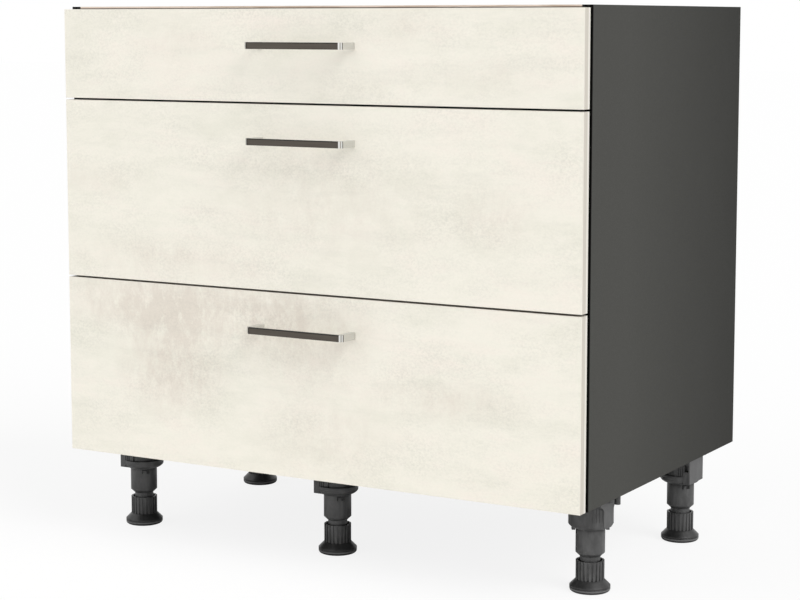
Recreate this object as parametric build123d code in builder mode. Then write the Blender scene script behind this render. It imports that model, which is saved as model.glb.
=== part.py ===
"""Kitchen base cabinet with three full-width drawers, bow handles and five screw feet.

Millimetres. +X is right as seen from the front, +Y points to the back, +Z up.
The origin is on the floor, in the middle of the cabinet's outer box.
"""
from build123d import *
from math import cos, radians, sin
import os

# ---------------------------------------------------------------- driving dimensions
# carcass
CARCASS_WIDTH = 900.0
CARCASS_DEPTH = 560.0
BOARD = 16.0
BACK_BOARD = 3.0
BACK_INSET = 14.0
GROOVE_DEPTH = 8.0
GROOVE_PLAY = 0.2
TOP_RAIL_WIDTH = 100.0
WORKTOP_HOLE_RADIUS = 2.5
WORKTOP_HOLE_SPACING = 600.0

# drawer fronts
FRONT_BOARD = 18.0
FRONT_STANDOFF = 4.0
SIDE_REVEAL = 1.5
FRONT_GAP = 3.0
TOP_REVEAL = 4.0
DEEP_FRONT = 278.0
SHALLOW_FRONT = 138.0
EDGE_BAND = 1.0

# bow handles
HANDLE_HOLE_SPACING = 160.0
HANDLE_LEG = 9.0
HANDLE_HEIGHT = 10.0
HANDLE_PROJECTION = 38.0
HANDLE_DROP = 54.0
HANDLE_BEVEL = 5.0
HANDLE_BACK_STRIP = 3.0
HANDLE_INLAY = 4.0
HANDLE_SCREW_RADIUS = 2.0
HANDLE_SCREW_BITE = 12.0

# drawer box
DRAWER_REAR_ROOM = 47.0
DRAWER_BOARD = 16.0
SIDE_HEIGHT = 68.0
SIDE_WIDTH = 16.0
SIDE_GAUGE = 1.2
SIDE_ROUND = 1.0
BASE_FLANGE = 14.0
DEEP_BACK_HEIGHT = 140.0
BRACKET_PLATE = 3.0
BRACKET_INSERT = 40.0
GALLERY_RADIUS = 5.0
GALLERY_DROP = 14.0
HOLDER_GAUGE = 2.0
BOARD_PLAY = 0.5

# telescopic runners
RUNNER_RISE = 22.0
RUNNER_INSET = 8.0
RUNNER_SETBACK = 3.0
CHANNEL_WIDTH = 16.0
CHANNEL_HEIGHT = 12.0
CHANNEL_GAP = 2.5
CHANNEL_GAUGE = 1.5
CHANNEL_LIP = 2.5
RUNNING_PLAY = 0.4
WEB_WIDTH = 5.0
FLANGE_HEIGHT = 36.0
RUNNER_SCREW_HEIGHT = 28.0
RUNNER_SCREW_INSET = 35.0

# legs
LEG_HEIGHT = 144.0
LEG_SIDE_INSET = 45.0
LEG_FRONT_SETBACK = 108.0
LEG_REAR_SETBACK = 110.0
MIDDLE_LEG_OFFSET = 28.0
PLATE_RADIUS = 40.0
PLATE_FLANGE = 4.0
PLATE_DROP = 50.0
PLATE_WALL_RADIUS = 26.0
PLATE_SCREW_ANGLES = (110, 155, 205, 250)
DISH_RADIUS = 32.5
DISH_RIM = 7.5
DISH_TAPER = 6.5
DISH_ROUND = 14.0
BLOCK_REACH = 26.5
BLOCK_WIDTH = 57.0
BLOCK_LIFT = 2.5
BLOCK_ROUND = 1.5
BLOCK_SLOT_REACH = 21.0
BLOCK_SLOT_DROP = 22.0
BLOCK_SLOT_WIDTH = 7.0
BLOCK_SLOT_HEIGHT = 11.5
BLOCK_SLOT_DEPTH = 6.0
BLOCK_FLUTES = (8.0, 11.5, 15.0)
FLUTE_SIZE = 1.6
CHEEK_REACH = 29.2
CHEEK_GAUGE = 4.0
CHEEK_TOP_HALF = 28.0
CHEEK_HALF = 17.0
CHEEK_BASE_HALF = 9.0
CHEEK_SHOULDER = 13.0
CHEEK_FLARE = 8.0
CHEEK_FLARE_ROUND = 12.0
CHEEK_RIB_ANGLES = (-58, -49, -40, -31, 31, 40, 49, 58)
SIDE_PEG_RADIUS = 4.5
SIDE_PEG_LENGTH = 14.0
SIDE_PEG_STEP = 12.0
HOOK_REACH = 25.0
HOOK_DEPTH = 5.0
HOOK_WIDTH = 8.0
HOOK_DROP = 3.0
HOOK_ANGLE = 30
SOCKET_RADIUS = 21.5
SOCKET_LENGTH = 36.0
SOCKET_TAPER = 5.0
SOCKET_LIP = 0.8
SOCKET_ROOF = 3.0
WINDOW_WIDTH = 12.5
WINDOW_HEIGHT = 7.0
WINDOW_DEPTH = 2.2
WINDOW_DROP = 1.0
WINDOW_LUG = 5.0
WINDOW_ANGLE = -44
SPIGOT_RADIUS = 12.0
SPIGOT_LENGTH = 30.0
STEM_RADIUS = 15.0
STEM_PLAY = 0.4
STEM_HEADROOM = 7.0
BARREL_RADIUS = 20.0
BARREL_HEIGHT = 28.0
BARREL_CUP = 6.0
RIB_COUNT = 22
RIB_DEPTH = 1.0
RIB_WIDTH = 3.0
FOOT_RADIUS = 30.0
FOOT_EDGE = 9.0
FOOT_GROOVE = 0.5
FOOT_HEIGHT = 18.0
FOOT_PIN_RADIUS = 7.0
FOOT_PIN_HEIGHT = 12.0

# screws, cams and dowels
SCREW_RADIUS = 2.0
SCREW_HEAD_RADIUS = 3.6
SCREW_HEAD_HEIGHT = 2.0
SCREW_BITE = 11.0
FIT_PLAY = 0.15
CAM_RADIUS = 7.5
CAM_HEIGHT = 12.5
CAM_INSET = 34.0
CAM_SLOT = 1.0
CAM_BOLT_RADIUS = 3.0
CAM_BOLT_BITE = 11.0
DOWEL_RADIUS = 4.0
DOWEL_LENGTH = 30.0
JOINT_INSET = 50.0
DOWEL_STEP = 32.0

# ---------------------------------------------------------------- derived places
CARCASS_HEIGHT = 2 * DEEP_FRONT + SHALLOW_FRONT + 2 * FRONT_GAP + TOP_REVEAL
TOTAL_DEPTH = HANDLE_PROJECTION + FRONT_BOARD + FRONT_STANDOFF + CARCASS_DEPTH
HALF_WIDTH = CARCASS_WIDTH / 2
INNER_HALF = HALF_WIDTH - BOARD
HANDLE_FACE_Y = -TOTAL_DEPTH / 2
FRONT_FACE_Y = HANDLE_FACE_Y + HANDLE_PROJECTION
FRONT_REAR_Y = FRONT_FACE_Y + FRONT_BOARD
CARCASS_FRONT_Y = FRONT_REAR_Y + FRONT_STANDOFF
CARCASS_BACK_Y = CARCASS_FRONT_Y + CARCASS_DEPTH
CARCASS_MID_Y = (CARCASS_FRONT_Y + CARCASS_BACK_Y) / 2
BACK_FACE_Y = CARCASS_BACK_Y - BACK_INSET - BACK_BOARD
DRAWER_END_Y = BACK_FACE_Y - DRAWER_REAR_ROOM
DRAWER_LENGTH = DRAWER_END_Y - FRONT_REAR_Y
UNDERSIDE_Z = LEG_HEIGHT
FLOOR_BOARD_Z = UNDERSIDE_Z + BOARD
TOP_Z = UNDERSIDE_Z + CARCASS_HEIGHT
TOP_RAIL_Z = TOP_Z - BOARD
FRONT_WIDTH = CARCASS_WIDTH - 2 * SIDE_REVEAL
FRONT_TOP_RAIL_Y = CARCASS_FRONT_Y + TOP_RAIL_WIDTH / 2
REAR_TOP_RAIL_Y = BACK_FACE_Y - TOP_RAIL_WIDTH / 2

# each drawer: name, underside of its front, height of its front, tall box or not
BOTTOM_FRONT_Z = UNDERSIDE_Z
MIDDLE_FRONT_Z = BOTTOM_FRONT_Z + DEEP_FRONT + FRONT_GAP
TOP_FRONT_Z = MIDDLE_FRONT_Z + DEEP_FRONT + FRONT_GAP
DRAWERS = [
    ("top", TOP_FRONT_Z, SHALLOW_FRONT, False),
    ("middle", MIDDLE_FRONT_Z, DEEP_FRONT, True),
    ("bottom", BOTTOM_FRONT_Z, DEEP_FRONT, True),
]

# runner section, seen from the front on the right-hand side of the cabinet
CHANNEL_OUTER_X = INNER_HALF - RUNNER_INSET
CHANNEL_MID_X = CHANNEL_OUTER_X - CHANNEL_WIDTH / 2
DRAWER_CHANNEL_RISE = CHANNEL_HEIGHT + CHANNEL_GAP
RUNNER_TOP_RISE = DRAWER_CHANNEL_RISE + CHANNEL_HEIGHT
HEAD_WIDTH = CHANNEL_WIDTH - 2 * (CHANNEL_GAUGE + RUNNING_PLAY)
HEAD_HEIGHT = CHANNEL_HEIGHT - 2 * (CHANNEL_GAUGE + RUNNING_PLAY)
SLOT_WIDTH = CHANNEL_WIDTH - 2 * (CHANNEL_GAUGE + CHANNEL_LIP)
RUNNER_START_Y = CARCASS_FRONT_Y + RUNNER_SETBACK
RUNNER_END_Y = DRAWER_END_Y - RUNNER_SETBACK
RUNNER_LENGTH = RUNNER_END_Y - RUNNER_START_Y
RUNNER_MID_Y = (RUNNER_START_Y + RUNNER_END_Y) / 2

# drawer box section
SIDE_OUTER_X = CHANNEL_MID_X + SIDE_WIDTH / 2
SIDE_INNER_X = SIDE_OUTER_X - SIDE_WIDTH
SIDE_MID_X = (SIDE_OUTER_X + SIDE_INNER_X) / 2
DRAWER_BOARD_HALF = SIDE_INNER_X - BOARD_PLAY
SIDE_BASE_RISE = RUNNER_RISE + RUNNER_TOP_RISE
SIDE_TOP_RISE = SIDE_BASE_RISE + SIDE_HEIGHT
DRAWER_BOARD_RISE = SIDE_BASE_RISE + SIDE_GAUGE
DRAWER_FLOOR_RISE = DRAWER_BOARD_RISE + DRAWER_BOARD
DEEP_BACK_RISE = DRAWER_FLOOR_RISE + DEEP_BACK_HEIGHT
GALLERY_RISE = DEEP_BACK_RISE - GALLERY_DROP
DRAWER_BACK_Y = DRAWER_END_Y - DRAWER_BOARD
SIDE_START_Y = FRONT_REAR_Y + BRACKET_PLATE

# legs: place and the direction of the plate's block, in degrees from +X
LEG_X = HALF_WIDTH - LEG_SIDE_INSET
LEG_FRONT_Y = CARCASS_FRONT_Y + LEG_FRONT_SETBACK
LEG_REAR_Y = CARCASS_BACK_Y - LEG_REAR_SETBACK
LEGS = [
    ("front_left", -LEG_X, LEG_FRONT_Y, 180),
    ("front_middle", -MIDDLE_LEG_OFFSET, LEG_FRONT_Y, 180),
    ("front_right", LEG_X, LEG_FRONT_Y, 0),
    ("rear_left", -LEG_X, LEG_REAR_Y, 180),
    ("rear_right", LEG_X, LEG_REAR_Y, 0),
]
CHEEKED_LEG = "front_right"
SIDE_PEG_X = HALF_WIDTH - BOARD / 2
SIDE_PEG_Y = LEG_FRONT_Y + SIDE_PEG_STEP
PLATE_BASE_Z = UNDERSIDE_Z - PLATE_DROP
SOCKET_BASE_Z = PLATE_BASE_Z - SOCKET_LENGTH
BARREL_TOP_Z = FOOT_HEIGHT + BARREL_HEIGHT
SPIGOT_TOP_Z = PLATE_BASE_Z + SPIGOT_LENGTH
STEM_BORE = STEM_RADIUS + STEM_PLAY
STEM_BORE_TOP_Z = PLATE_BASE_Z - SOCKET_ROOF
STEM_TOP_Z = STEM_BORE_TOP_Z - STEM_HEADROOM
FLANGE_BASE_Z = UNDERSIDE_Z - PLATE_FLANGE
DISH_RIM_Z = PLATE_BASE_Z + DISH_TAPER
DISH_TOP_Z = DISH_RIM_Z + DISH_RIM
WINDOW_Z = PLATE_BASE_Z - WINDOW_DROP - WINDOW_HEIGHT / 2
PLATE_SCREW_RADIUS = (DISH_RADIUS + PLATE_RADIUS) / 2

os.makedirs("parts", exist_ok=True)


def save(built, label):
    """Label a finished piece and write it as its own STEP file."""
    built.part.label = label
    export_step(built.part, f"parts/{label}.step")


def across(y):
    """A plane across the cabinet at depth y: sketch x is X, sketch y is Z."""
    return Plane(origin=(0, y, 0), x_dir=(1, 0, 0), z_dir=(0, -1, 0))


def upright(x, y):
    """The same plane with its origin on a vertical axis through (x, y)."""
    return Plane(origin=(x, y, 0), x_dir=(1, 0, 0), z_dir=(0, -1, 0))


def leg_axis(x, y):
    """The vertical axis of one leg."""
    return Axis((x, y, 0), (0, 0, 1))


def turned(x, y, angle, z):
    """A level plane at height z on a leg's axis: sketch x points outwards at the angle."""
    outwards = (cos(radians(angle)), sin(radians(angle)), 0)
    return Plane(origin=(x, y, z), x_dir=outwards, z_dir=(0, 0, 1))


def facing(x, y, angle, reach):
    """An upright plane that faces a leg's axis from a distance: sketch x is level, sketch y is Z."""
    outwards = (cos(radians(angle)), sin(radians(angle)), 0)
    level = (-sin(radians(angle)), cos(radians(angle)), 0)
    return Plane(origin=(x + reach * outwards[0], y + reach * outwards[1], 0), x_dir=level, z_dir=outwards)


def plate_screw_points(x, y, turn):
    """Where the four screws of one leg plate go, clear of its block."""
    angles = [radians(turn + angle) for angle in PLATE_SCREW_ANGLES]
    return [(x + PLATE_SCREW_RADIUS * cos(angle), y + PLATE_SCREW_RADIUS * sin(angle)) for angle in angles]


# ---------------------------------------------------------------- carcass boards
# the cross boards are joined at their ends by a cam and a dowel near the front, and again near the back
JOINT_ZS = [UNDERSIDE_Z + BOARD / 2, TOP_RAIL_Z + BOARD / 2]
CAM_YS = [CARCASS_FRONT_Y + JOINT_INSET, BACK_FACE_Y - JOINT_INSET]
DOWEL_YS = [CAM_YS[0] - DOWEL_STEP, CAM_YS[1] + DOWEL_STEP]
RUNNER_SCREW_YS = [
    RUNNER_START_Y + RUNNER_SCREW_INSET,
    RUNNER_MID_Y,
    RUNNER_END_Y - RUNNER_SCREW_INSET,
]
RUNNER_SCREW_POINTS = [
    (y, front_z + RUNNER_RISE + RUNNER_SCREW_HEIGHT)
    for name, front_z, front_height, tall in DRAWERS
    for y in RUNNER_SCREW_YS
]
CAM_POINTS = [(y, z) for z in JOINT_ZS for y in CAM_YS]
DOWEL_POINTS = [(y, z) for z in JOINT_ZS for y in DOWEL_YS]


def side_panel(sign, label):
    """A melamine side board, grooved for the back and bored on its inner face."""
    inner_face = Plane(origin=(sign * INNER_HALF, 0, 0), x_dir=(0, 1, 0), z_dir=(1, 0, 0))
    with BuildPart() as panel:
        with BuildSketch(Plane.XY.offset(UNDERSIDE_Z)):
            with Locations((sign * (HALF_WIDTH - BOARD / 2), CARCASS_MID_Y)):
                Rectangle(BOARD, CARCASS_DEPTH)
        extrude(amount=CARCASS_HEIGHT)
        with BuildSketch(inner_face):
            with Locations((BACK_FACE_Y + BACK_BOARD / 2, UNDERSIDE_Z + CARCASS_HEIGHT / 2)):
                Rectangle(BACK_BOARD + GROOVE_PLAY, CARCASS_HEIGHT)
        extrude(amount=sign * GROOVE_DEPTH, mode=Mode.SUBTRACT)
        with BuildSketch(inner_face):
            with Locations(*RUNNER_SCREW_POINTS):
                Circle(SCREW_RADIUS + FIT_PLAY)
            with Locations(*CAM_POINTS):
                Circle(CAM_BOLT_RADIUS + FIT_PLAY)
        extrude(amount=sign * (SCREW_BITE + FIT_PLAY), mode=Mode.SUBTRACT)
        with BuildSketch(inner_face):
            with Locations(*DOWEL_POINTS):
                Circle(DOWEL_RADIUS + FIT_PLAY)
        extrude(amount=sign * (DOWEL_LENGTH / 3 + FIT_PLAY), mode=Mode.SUBTRACT)
        with BuildSketch(Plane.XY.offset(UNDERSIDE_Z)):
            with Locations((sign * SIDE_PEG_X, SIDE_PEG_Y)):
                Circle(SCREW_RADIUS + FIT_PLAY)
        extrude(amount=SCREW_BITE + FIT_PLAY, mode=Mode.SUBTRACT)
    save(panel, label)


def end_bores(base_z, cam_ys, dowel_ys):
    """What is bored out of a cross board at its two ends: bolts, dowels and cam housings."""
    mid_z = base_z + BOARD / 2
    board_end = Plane(origin=(INNER_HALF, 0, 0), x_dir=(0, 1, 0), z_dir=(1, 0, 0))
    with BuildPart() as bores:
        with BuildSketch(board_end):
            with Locations(*[(y, mid_z) for y in cam_ys]):
                Circle(CAM_BOLT_RADIUS + FIT_PLAY)
        extrude(amount=-CAM_INSET)
        with BuildSketch(board_end):
            with Locations(*[(y, mid_z) for y in dowel_ys]):
                Circle(DOWEL_RADIUS + FIT_PLAY)
        extrude(amount=-(DOWEL_LENGTH * 2 / 3 + FIT_PLAY))
        with BuildSketch(Plane.XY.offset(base_z)):
            with Locations(*[(INNER_HALF - CAM_INSET, y) for y in cam_ys]):
                Circle(CAM_RADIUS + FIT_PLAY)
        extrude(amount=CAM_HEIGHT + FIT_PLAY)
        mirror(about=Plane.YZ)
    return bores.part


def top_rail(mid_y, cam_ys, dowel_ys, label):
    """A flat cross board under the worktop, with the worktop's two screw holes."""
    bores = end_bores(TOP_RAIL_Z, cam_ys, dowel_ys)
    with BuildPart() as rail:
        with BuildSketch(Plane.XY.offset(TOP_RAIL_Z)):
            with Locations((0, mid_y)):
                Rectangle(2 * INNER_HALF, TOP_RAIL_WIDTH)
                with GridLocations(WORKTOP_HOLE_SPACING, 1, 2, 1):
                    Circle(WORKTOP_HOLE_RADIUS, mode=Mode.SUBTRACT)
        extrude(amount=BOARD)
        add(bores, mode=Mode.SUBTRACT)
    save(rail, label)


side_panel(-1, "side_panel_left")
side_panel(1, "side_panel_right")

bottom_bores = end_bores(UNDERSIDE_Z, CAM_YS, DOWEL_YS)
with BuildPart() as bottom_panel:
    with BuildSketch(Plane.XY.offset(UNDERSIDE_Z)):
        with Locations((0, CARCASS_MID_Y)):
            Rectangle(2 * INNER_HALF, CARCASS_DEPTH)
    extrude(amount=BOARD)
    with BuildSketch(Plane.XY.offset(FLOOR_BOARD_Z)):
        with Locations((0, BACK_FACE_Y + BACK_BOARD / 2)):
            Rectangle(2 * INNER_HALF, BACK_BOARD + GROOVE_PLAY)
    extrude(amount=-GROOVE_DEPTH, mode=Mode.SUBTRACT)
    add(bottom_bores, mode=Mode.SUBTRACT)
    with BuildSketch(Plane.XY.offset(UNDERSIDE_Z)):
        for leg, x, y, turn in LEGS:
            with Locations(*plate_screw_points(x, y, turn)):
                Circle(SCREW_RADIUS + FIT_PLAY)
    extrude(amount=SCREW_BITE + FIT_PLAY, mode=Mode.SUBTRACT)
save(bottom_panel, "bottom_panel")

with BuildPart() as back_panel:
    back_base_z = FLOOR_BOARD_Z - GROOVE_DEPTH
    with BuildSketch(across(BACK_FACE_Y)):
        with Locations((0, (back_base_z + TOP_Z) / 2)):
            Rectangle(2 * (INNER_HALF + GROOVE_DEPTH), TOP_Z - back_base_z)
    extrude(amount=-BACK_BOARD)
save(back_panel, "back_panel")

top_rail(FRONT_TOP_RAIL_Y, CAM_YS[:1], DOWEL_YS[:1], "top_rail_front")
top_rail(REAR_TOP_RAIL_Y, CAM_YS[1:], DOWEL_YS[1:], "top_rail_rear")

# a cam housing in each cross board's underside, and the bolt that it pulls on
with BuildPart() as cam_fittings:
    for board_z in (UNDERSIDE_Z, TOP_RAIL_Z):
        with BuildSketch(Plane.XY.offset(board_z)):
            with Locations(*[(INNER_HALF - CAM_INSET, y) for y in CAM_YS]):
                Circle(CAM_RADIUS)
        extrude(amount=CAM_HEIGHT)
        with BuildSketch(Plane.XY.offset(board_z)):
            with Locations(*[(INNER_HALF - CAM_INSET, y) for y in CAM_YS]):
                Rectangle(1.4 * CAM_RADIUS, CAM_SLOT)
                Rectangle(CAM_SLOT, 1.4 * CAM_RADIUS)
        extrude(amount=2 * CAM_SLOT, mode=Mode.SUBTRACT)
    bolt_plane = Plane(origin=(INNER_HALF + CAM_BOLT_BITE, 0, 0), x_dir=(0, 1, 0), z_dir=(1, 0, 0))
    with BuildSketch(bolt_plane):
        with Locations(*CAM_POINTS):
            Circle(CAM_BOLT_RADIUS)
    extrude(amount=-(CAM_BOLT_BITE + CAM_INSET - CAM_RADIUS - FIT_PLAY))
    mirror(about=Plane.YZ)
save(cam_fittings, "cam_fittings")

with BuildPart() as wood_dowels:
    dowel_plane = Plane(origin=(INNER_HALF + DOWEL_LENGTH / 3, 0, 0), x_dir=(0, 1, 0), z_dir=(1, 0, 0))
    with BuildSketch(dowel_plane):
        with Locations(*DOWEL_POINTS):
            Circle(DOWEL_RADIUS)
    extrude(amount=-DOWEL_LENGTH)
    mirror(about=Plane.YZ)
save(wood_dowels, "wood_dowels")


# ---------------------------------------------------------------- telescopic runners
def lipped_channel(base_z, opens_up):
    """Section of a lipped channel on the right-hand side, opening up or down."""
    mouth_z = base_z + CHANNEL_HEIGHT - CHANNEL_GAUGE if opens_up else base_z
    with Locations((CHANNEL_MID_X, base_z + CHANNEL_HEIGHT / 2)):
        Rectangle(CHANNEL_WIDTH, CHANNEL_HEIGHT)
        Rectangle(CHANNEL_WIDTH - 2 * CHANNEL_GAUGE, CHANNEL_HEIGHT - 2 * CHANNEL_GAUGE,
                  mode=Mode.SUBTRACT)
    with Locations((CHANNEL_MID_X, mouth_z + CHANNEL_GAUGE / 2)):
        Rectangle(SLOT_WIDTH, CHANNEL_GAUGE, mode=Mode.SUBTRACT)


def cabinet_rails(front_z, label):
    """The pair of fixed channels, each with its foot and its screwed flange."""
    base_z = front_z + RUNNER_RISE
    with BuildPart() as rails:
        with BuildSketch(across(RUNNER_START_Y)):
            lipped_channel(base_z, True)
            with Locations(((INNER_HALF + CHANNEL_OUTER_X) / 2, base_z + CHANNEL_GAUGE / 2)):
                Rectangle(INNER_HALF - CHANNEL_OUTER_X, CHANNEL_GAUGE)
            with Locations((INNER_HALF - CHANNEL_GAUGE / 2, base_z + FLANGE_HEIGHT / 2)):
                Rectangle(CHANNEL_GAUGE, FLANGE_HEIGHT)
        extrude(amount=-RUNNER_LENGTH)
        with BuildSketch(Plane(origin=(INNER_HALF, 0, 0), x_dir=(0, 1, 0), z_dir=(1, 0, 0))):
            with Locations(*[(y, base_z + RUNNER_SCREW_HEIGHT) for y in RUNNER_SCREW_YS]):
                Circle(SCREW_RADIUS + FIT_PLAY)
        extrude(amount=-CHANNEL_GAUGE, mode=Mode.SUBTRACT)
        mirror(about=Plane.YZ)
    save(rails, label)


def middle_rails(front_z, label):
    """The pair of sliding members whose two heads run in the channels."""
    base_z = front_z + RUNNER_RISE
    lower_head_z = base_z + CHANNEL_GAUGE + RUNNING_PLAY + HEAD_HEIGHT / 2
    upper_head_z = lower_head_z + DRAWER_CHANNEL_RISE
    with BuildPart() as rails:
        with BuildSketch(across(RUNNER_START_Y)):
            with Locations((CHANNEL_MID_X, lower_head_z), (CHANNEL_MID_X, upper_head_z)):
                Rectangle(HEAD_WIDTH, HEAD_HEIGHT)
            with Locations((CHANNEL_MID_X, (lower_head_z + upper_head_z) / 2)):
                Rectangle(WEB_WIDTH, upper_head_z - lower_head_z)
        extrude(amount=-RUNNER_LENGTH)
        mirror(about=Plane.YZ)
    save(rails, label)


def drawer_rails(front_z, label):
    """The pair of channels that open downwards and carry the drawer's sides."""
    base_z = front_z + RUNNER_RISE + DRAWER_CHANNEL_RISE
    with BuildPart() as rails:
        with BuildSketch(across(RUNNER_START_Y)):
            lipped_channel(base_z, False)
        extrude(amount=-RUNNER_LENGTH)
        mirror(about=Plane.YZ)
    save(rails, label)


with BuildPart() as rail_screws:
    head_plane = Plane(origin=(INNER_HALF - CHANNEL_GAUGE, 0, 0), x_dir=(0, 1, 0), z_dir=(1, 0, 0))
    with BuildSketch(head_plane):
        with Locations(*RUNNER_SCREW_POINTS):
            Circle(SCREW_HEAD_RADIUS)
    extrude(amount=-SCREW_HEAD_HEIGHT)
    with BuildSketch(head_plane):
        with Locations(*RUNNER_SCREW_POINTS):
            Circle(SCREW_RADIUS)
    extrude(amount=CHANNEL_GAUGE + SCREW_BITE)
    mirror(about=Plane.YZ)
save(rail_screws, "rail_screws")


# ---------------------------------------------------------------- drawers
def front_panel(front_z, front_height, label):
    """The decorated board of a drawer front, bored for its two handle screws."""
    handle_z = front_z + front_height - HANDLE_DROP
    with BuildPart() as panel:
        with BuildSketch(across(FRONT_FACE_Y)):
            with Locations((0, front_z + front_height / 2)):
                Rectangle(FRONT_WIDTH - 2 * EDGE_BAND, front_height - 2 * EDGE_BAND)
            with Locations((0, handle_z)):
                with GridLocations(HANDLE_HOLE_SPACING, 1, 2, 1):
                    Circle(HANDLE_SCREW_RADIUS + FIT_PLAY, mode=Mode.SUBTRACT)
        extrude(amount=-FRONT_BOARD)
    save(panel, label)


def edge_band(front_z, front_height, label):
    """The thin banding glued round the four edges of a front."""
    with BuildPart() as band:
        with BuildSketch(across(FRONT_FACE_Y)):
            with Locations((0, front_z + front_height / 2)):
                Rectangle(FRONT_WIDTH, front_height)
                Rectangle(FRONT_WIDTH - 2 * EDGE_BAND, front_height - 2 * EDGE_BAND,
                          mode=Mode.SUBTRACT)
        extrude(amount=-FRONT_BOARD)
    save(band, label)


HANDLE_HALF = (HANDLE_HOLE_SPACING + HANDLE_LEG) / 2
INLAY_HALF = HANDLE_HALF - HANDLE_BEVEL
INLAY_REAR_Y = HANDLE_FACE_Y + HANDLE_INLAY
BAR_REAR_Y = INLAY_REAR_Y + HANDLE_BACK_STRIP


def handle_bar(handle_z, label):
    """The metal bow: two legs and a thin back strip, with a bevel at each corner."""
    with BuildPart() as bar:
        with BuildSketch(Plane.XY.offset(handle_z - HANDLE_HEIGHT / 2)):
            with BuildLine():
                Polyline(
                    (INLAY_HALF, HANDLE_FACE_Y),
                    (HANDLE_HALF, HANDLE_FACE_Y + HANDLE_BEVEL),
                    (HANDLE_HALF, FRONT_FACE_Y),
                    (HANDLE_HALF - HANDLE_LEG, FRONT_FACE_Y),
                    (HANDLE_HALF - HANDLE_LEG, BAR_REAR_Y),
                    (0, BAR_REAR_Y),
                    (0, INLAY_REAR_Y),
                    (INLAY_HALF, INLAY_REAR_Y),
                    close=True,
                )
            make_face()
            mirror(about=Plane.YZ)
        extrude(amount=HANDLE_HEIGHT)
        inner_corners = bar.edges().filter_by(Axis.Z).group_by(Axis.Y)[-2]
        fillet(inner_corners, radius=HANDLE_BACK_STRIP)
        with BuildSketch(across(FRONT_FACE_Y)):
            with Locations((0, handle_z)):
                with GridLocations(HANDLE_HOLE_SPACING, 1, 2, 1):
                    Circle(HANDLE_SCREW_RADIUS + FIT_PLAY)
        extrude(amount=HANDLE_SCREW_BITE + FIT_PLAY, mode=Mode.SUBTRACT)
    save(bar, label)


def handle_inlay(handle_z, label):
    """The dark strip let into the front of the bow."""
    with BuildPart() as inlay:
        with BuildSketch(Plane.XY.offset(handle_z - HANDLE_HEIGHT / 2)):
            with Locations((0, (HANDLE_FACE_Y + INLAY_REAR_Y) / 2)):
                Rectangle(2 * INLAY_HALF, HANDLE_INLAY)
        extrude(amount=HANDLE_HEIGHT)
    save(inlay, label)


def handle_screws(handle_z, label):
    """The two screws that pull the bow onto the front from inside."""
    with BuildPart() as screws:
        with BuildSketch(across(FRONT_REAR_Y)):
            with Locations((0, handle_z)):
                with GridLocations(HANDLE_HOLE_SPACING, 1, 2, 1):
                    Circle(SCREW_HEAD_RADIUS)
        extrude(amount=-SCREW_HEAD_HEIGHT)
        with BuildSketch(across(FRONT_REAR_Y)):
            with Locations((0, handle_z)):
                with GridLocations(HANDLE_HOLE_SPACING, 1, 2, 1):
                    Circle(HANDLE_SCREW_RADIUS)
        extrude(amount=FRONT_BOARD + HANDLE_SCREW_BITE)
    save(screws, label)


def drawer_sides(front_z, tall, label):
    """The pair of hollow steel sides; a tall drawer's sides carry a holder at the rear."""
    base_z = front_z + SIDE_BASE_RISE
    top_z = front_z + SIDE_TOP_RISE
    with BuildPart() as sides:
        with BuildSketch(across(SIDE_START_Y)):
            with Locations((SIDE_MID_X, base_z + SIDE_HEIGHT / 2)):
                RectangleRounded(SIDE_WIDTH, SIDE_HEIGHT, SIDE_ROUND + SIDE_GAUGE)
                RectangleRounded(SIDE_WIDTH - 2 * SIDE_GAUGE, SIDE_HEIGHT - 2 * SIDE_GAUGE, SIDE_ROUND,
                                 mode=Mode.SUBTRACT)
            flange_width = BASE_FLANGE + SIDE_ROUND + SIDE_GAUGE
            with Locations((SIDE_INNER_X - BASE_FLANGE + flange_width / 2, base_z + SIDE_GAUGE / 2)):
                Rectangle(flange_width, SIDE_GAUGE)
        extrude(amount=-(DRAWER_LENGTH - BRACKET_PLATE))
        if tall:
            holder_base_z = top_z - SIDE_GAUGE
            with BuildSketch(Plane.XY.offset(holder_base_z)):
                with Locations((SIDE_MID_X, DRAWER_BACK_Y - HOLDER_GAUGE / 2)):
                    Rectangle(SIDE_WIDTH, HOLDER_GAUGE)
                with Locations((SIDE_INNER_X + HOLDER_GAUGE / 2, (DRAWER_BACK_Y + DRAWER_END_Y) / 2)):
                    Rectangle(HOLDER_GAUGE, DRAWER_BOARD)
            extrude(amount=front_z + DEEP_BACK_RISE - holder_base_z)
        mirror(about=Plane.YZ)
    save(sides, label)


def front_brackets(front_z, tall, label):
    """The pair of brackets screwed to the front: a plate, and a tongue inside the steel side."""
    base_z = front_z + SIDE_BASE_RISE
    plate_top_z = front_z + (DEEP_BACK_RISE if tall else SIDE_TOP_RISE)
    insert_width = SIDE_WIDTH - 2 * (SIDE_GAUGE + FIT_PLAY)
    insert_height = SIDE_HEIGHT - 2 * (SIDE_GAUGE + FIT_PLAY)
    with BuildPart() as brackets:
        with BuildSketch(across(FRONT_REAR_Y)):
            with Locations((SIDE_MID_X, (base_z + plate_top_z) / 2)):
                Rectangle(SIDE_WIDTH, plate_top_z - base_z)
        extrude(amount=-BRACKET_PLATE)
        with BuildSketch(across(SIDE_START_Y)):
            with Locations((SIDE_MID_X, base_z + SIDE_HEIGHT / 2)):
                RectangleRounded(insert_width, insert_height, SIDE_ROUND)
        extrude(amount=-BRACKET_INSERT)
        if tall:
            with BuildSketch(across(SIDE_START_Y)):
                with Locations((SIDE_MID_X, front_z + GALLERY_RISE)):
                    Circle(SIDE_WIDTH / 2)
            extrude(amount=-SIDE_WIDTH / 2)
        mirror(about=Plane.YZ)
    save(brackets, label)


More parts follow.
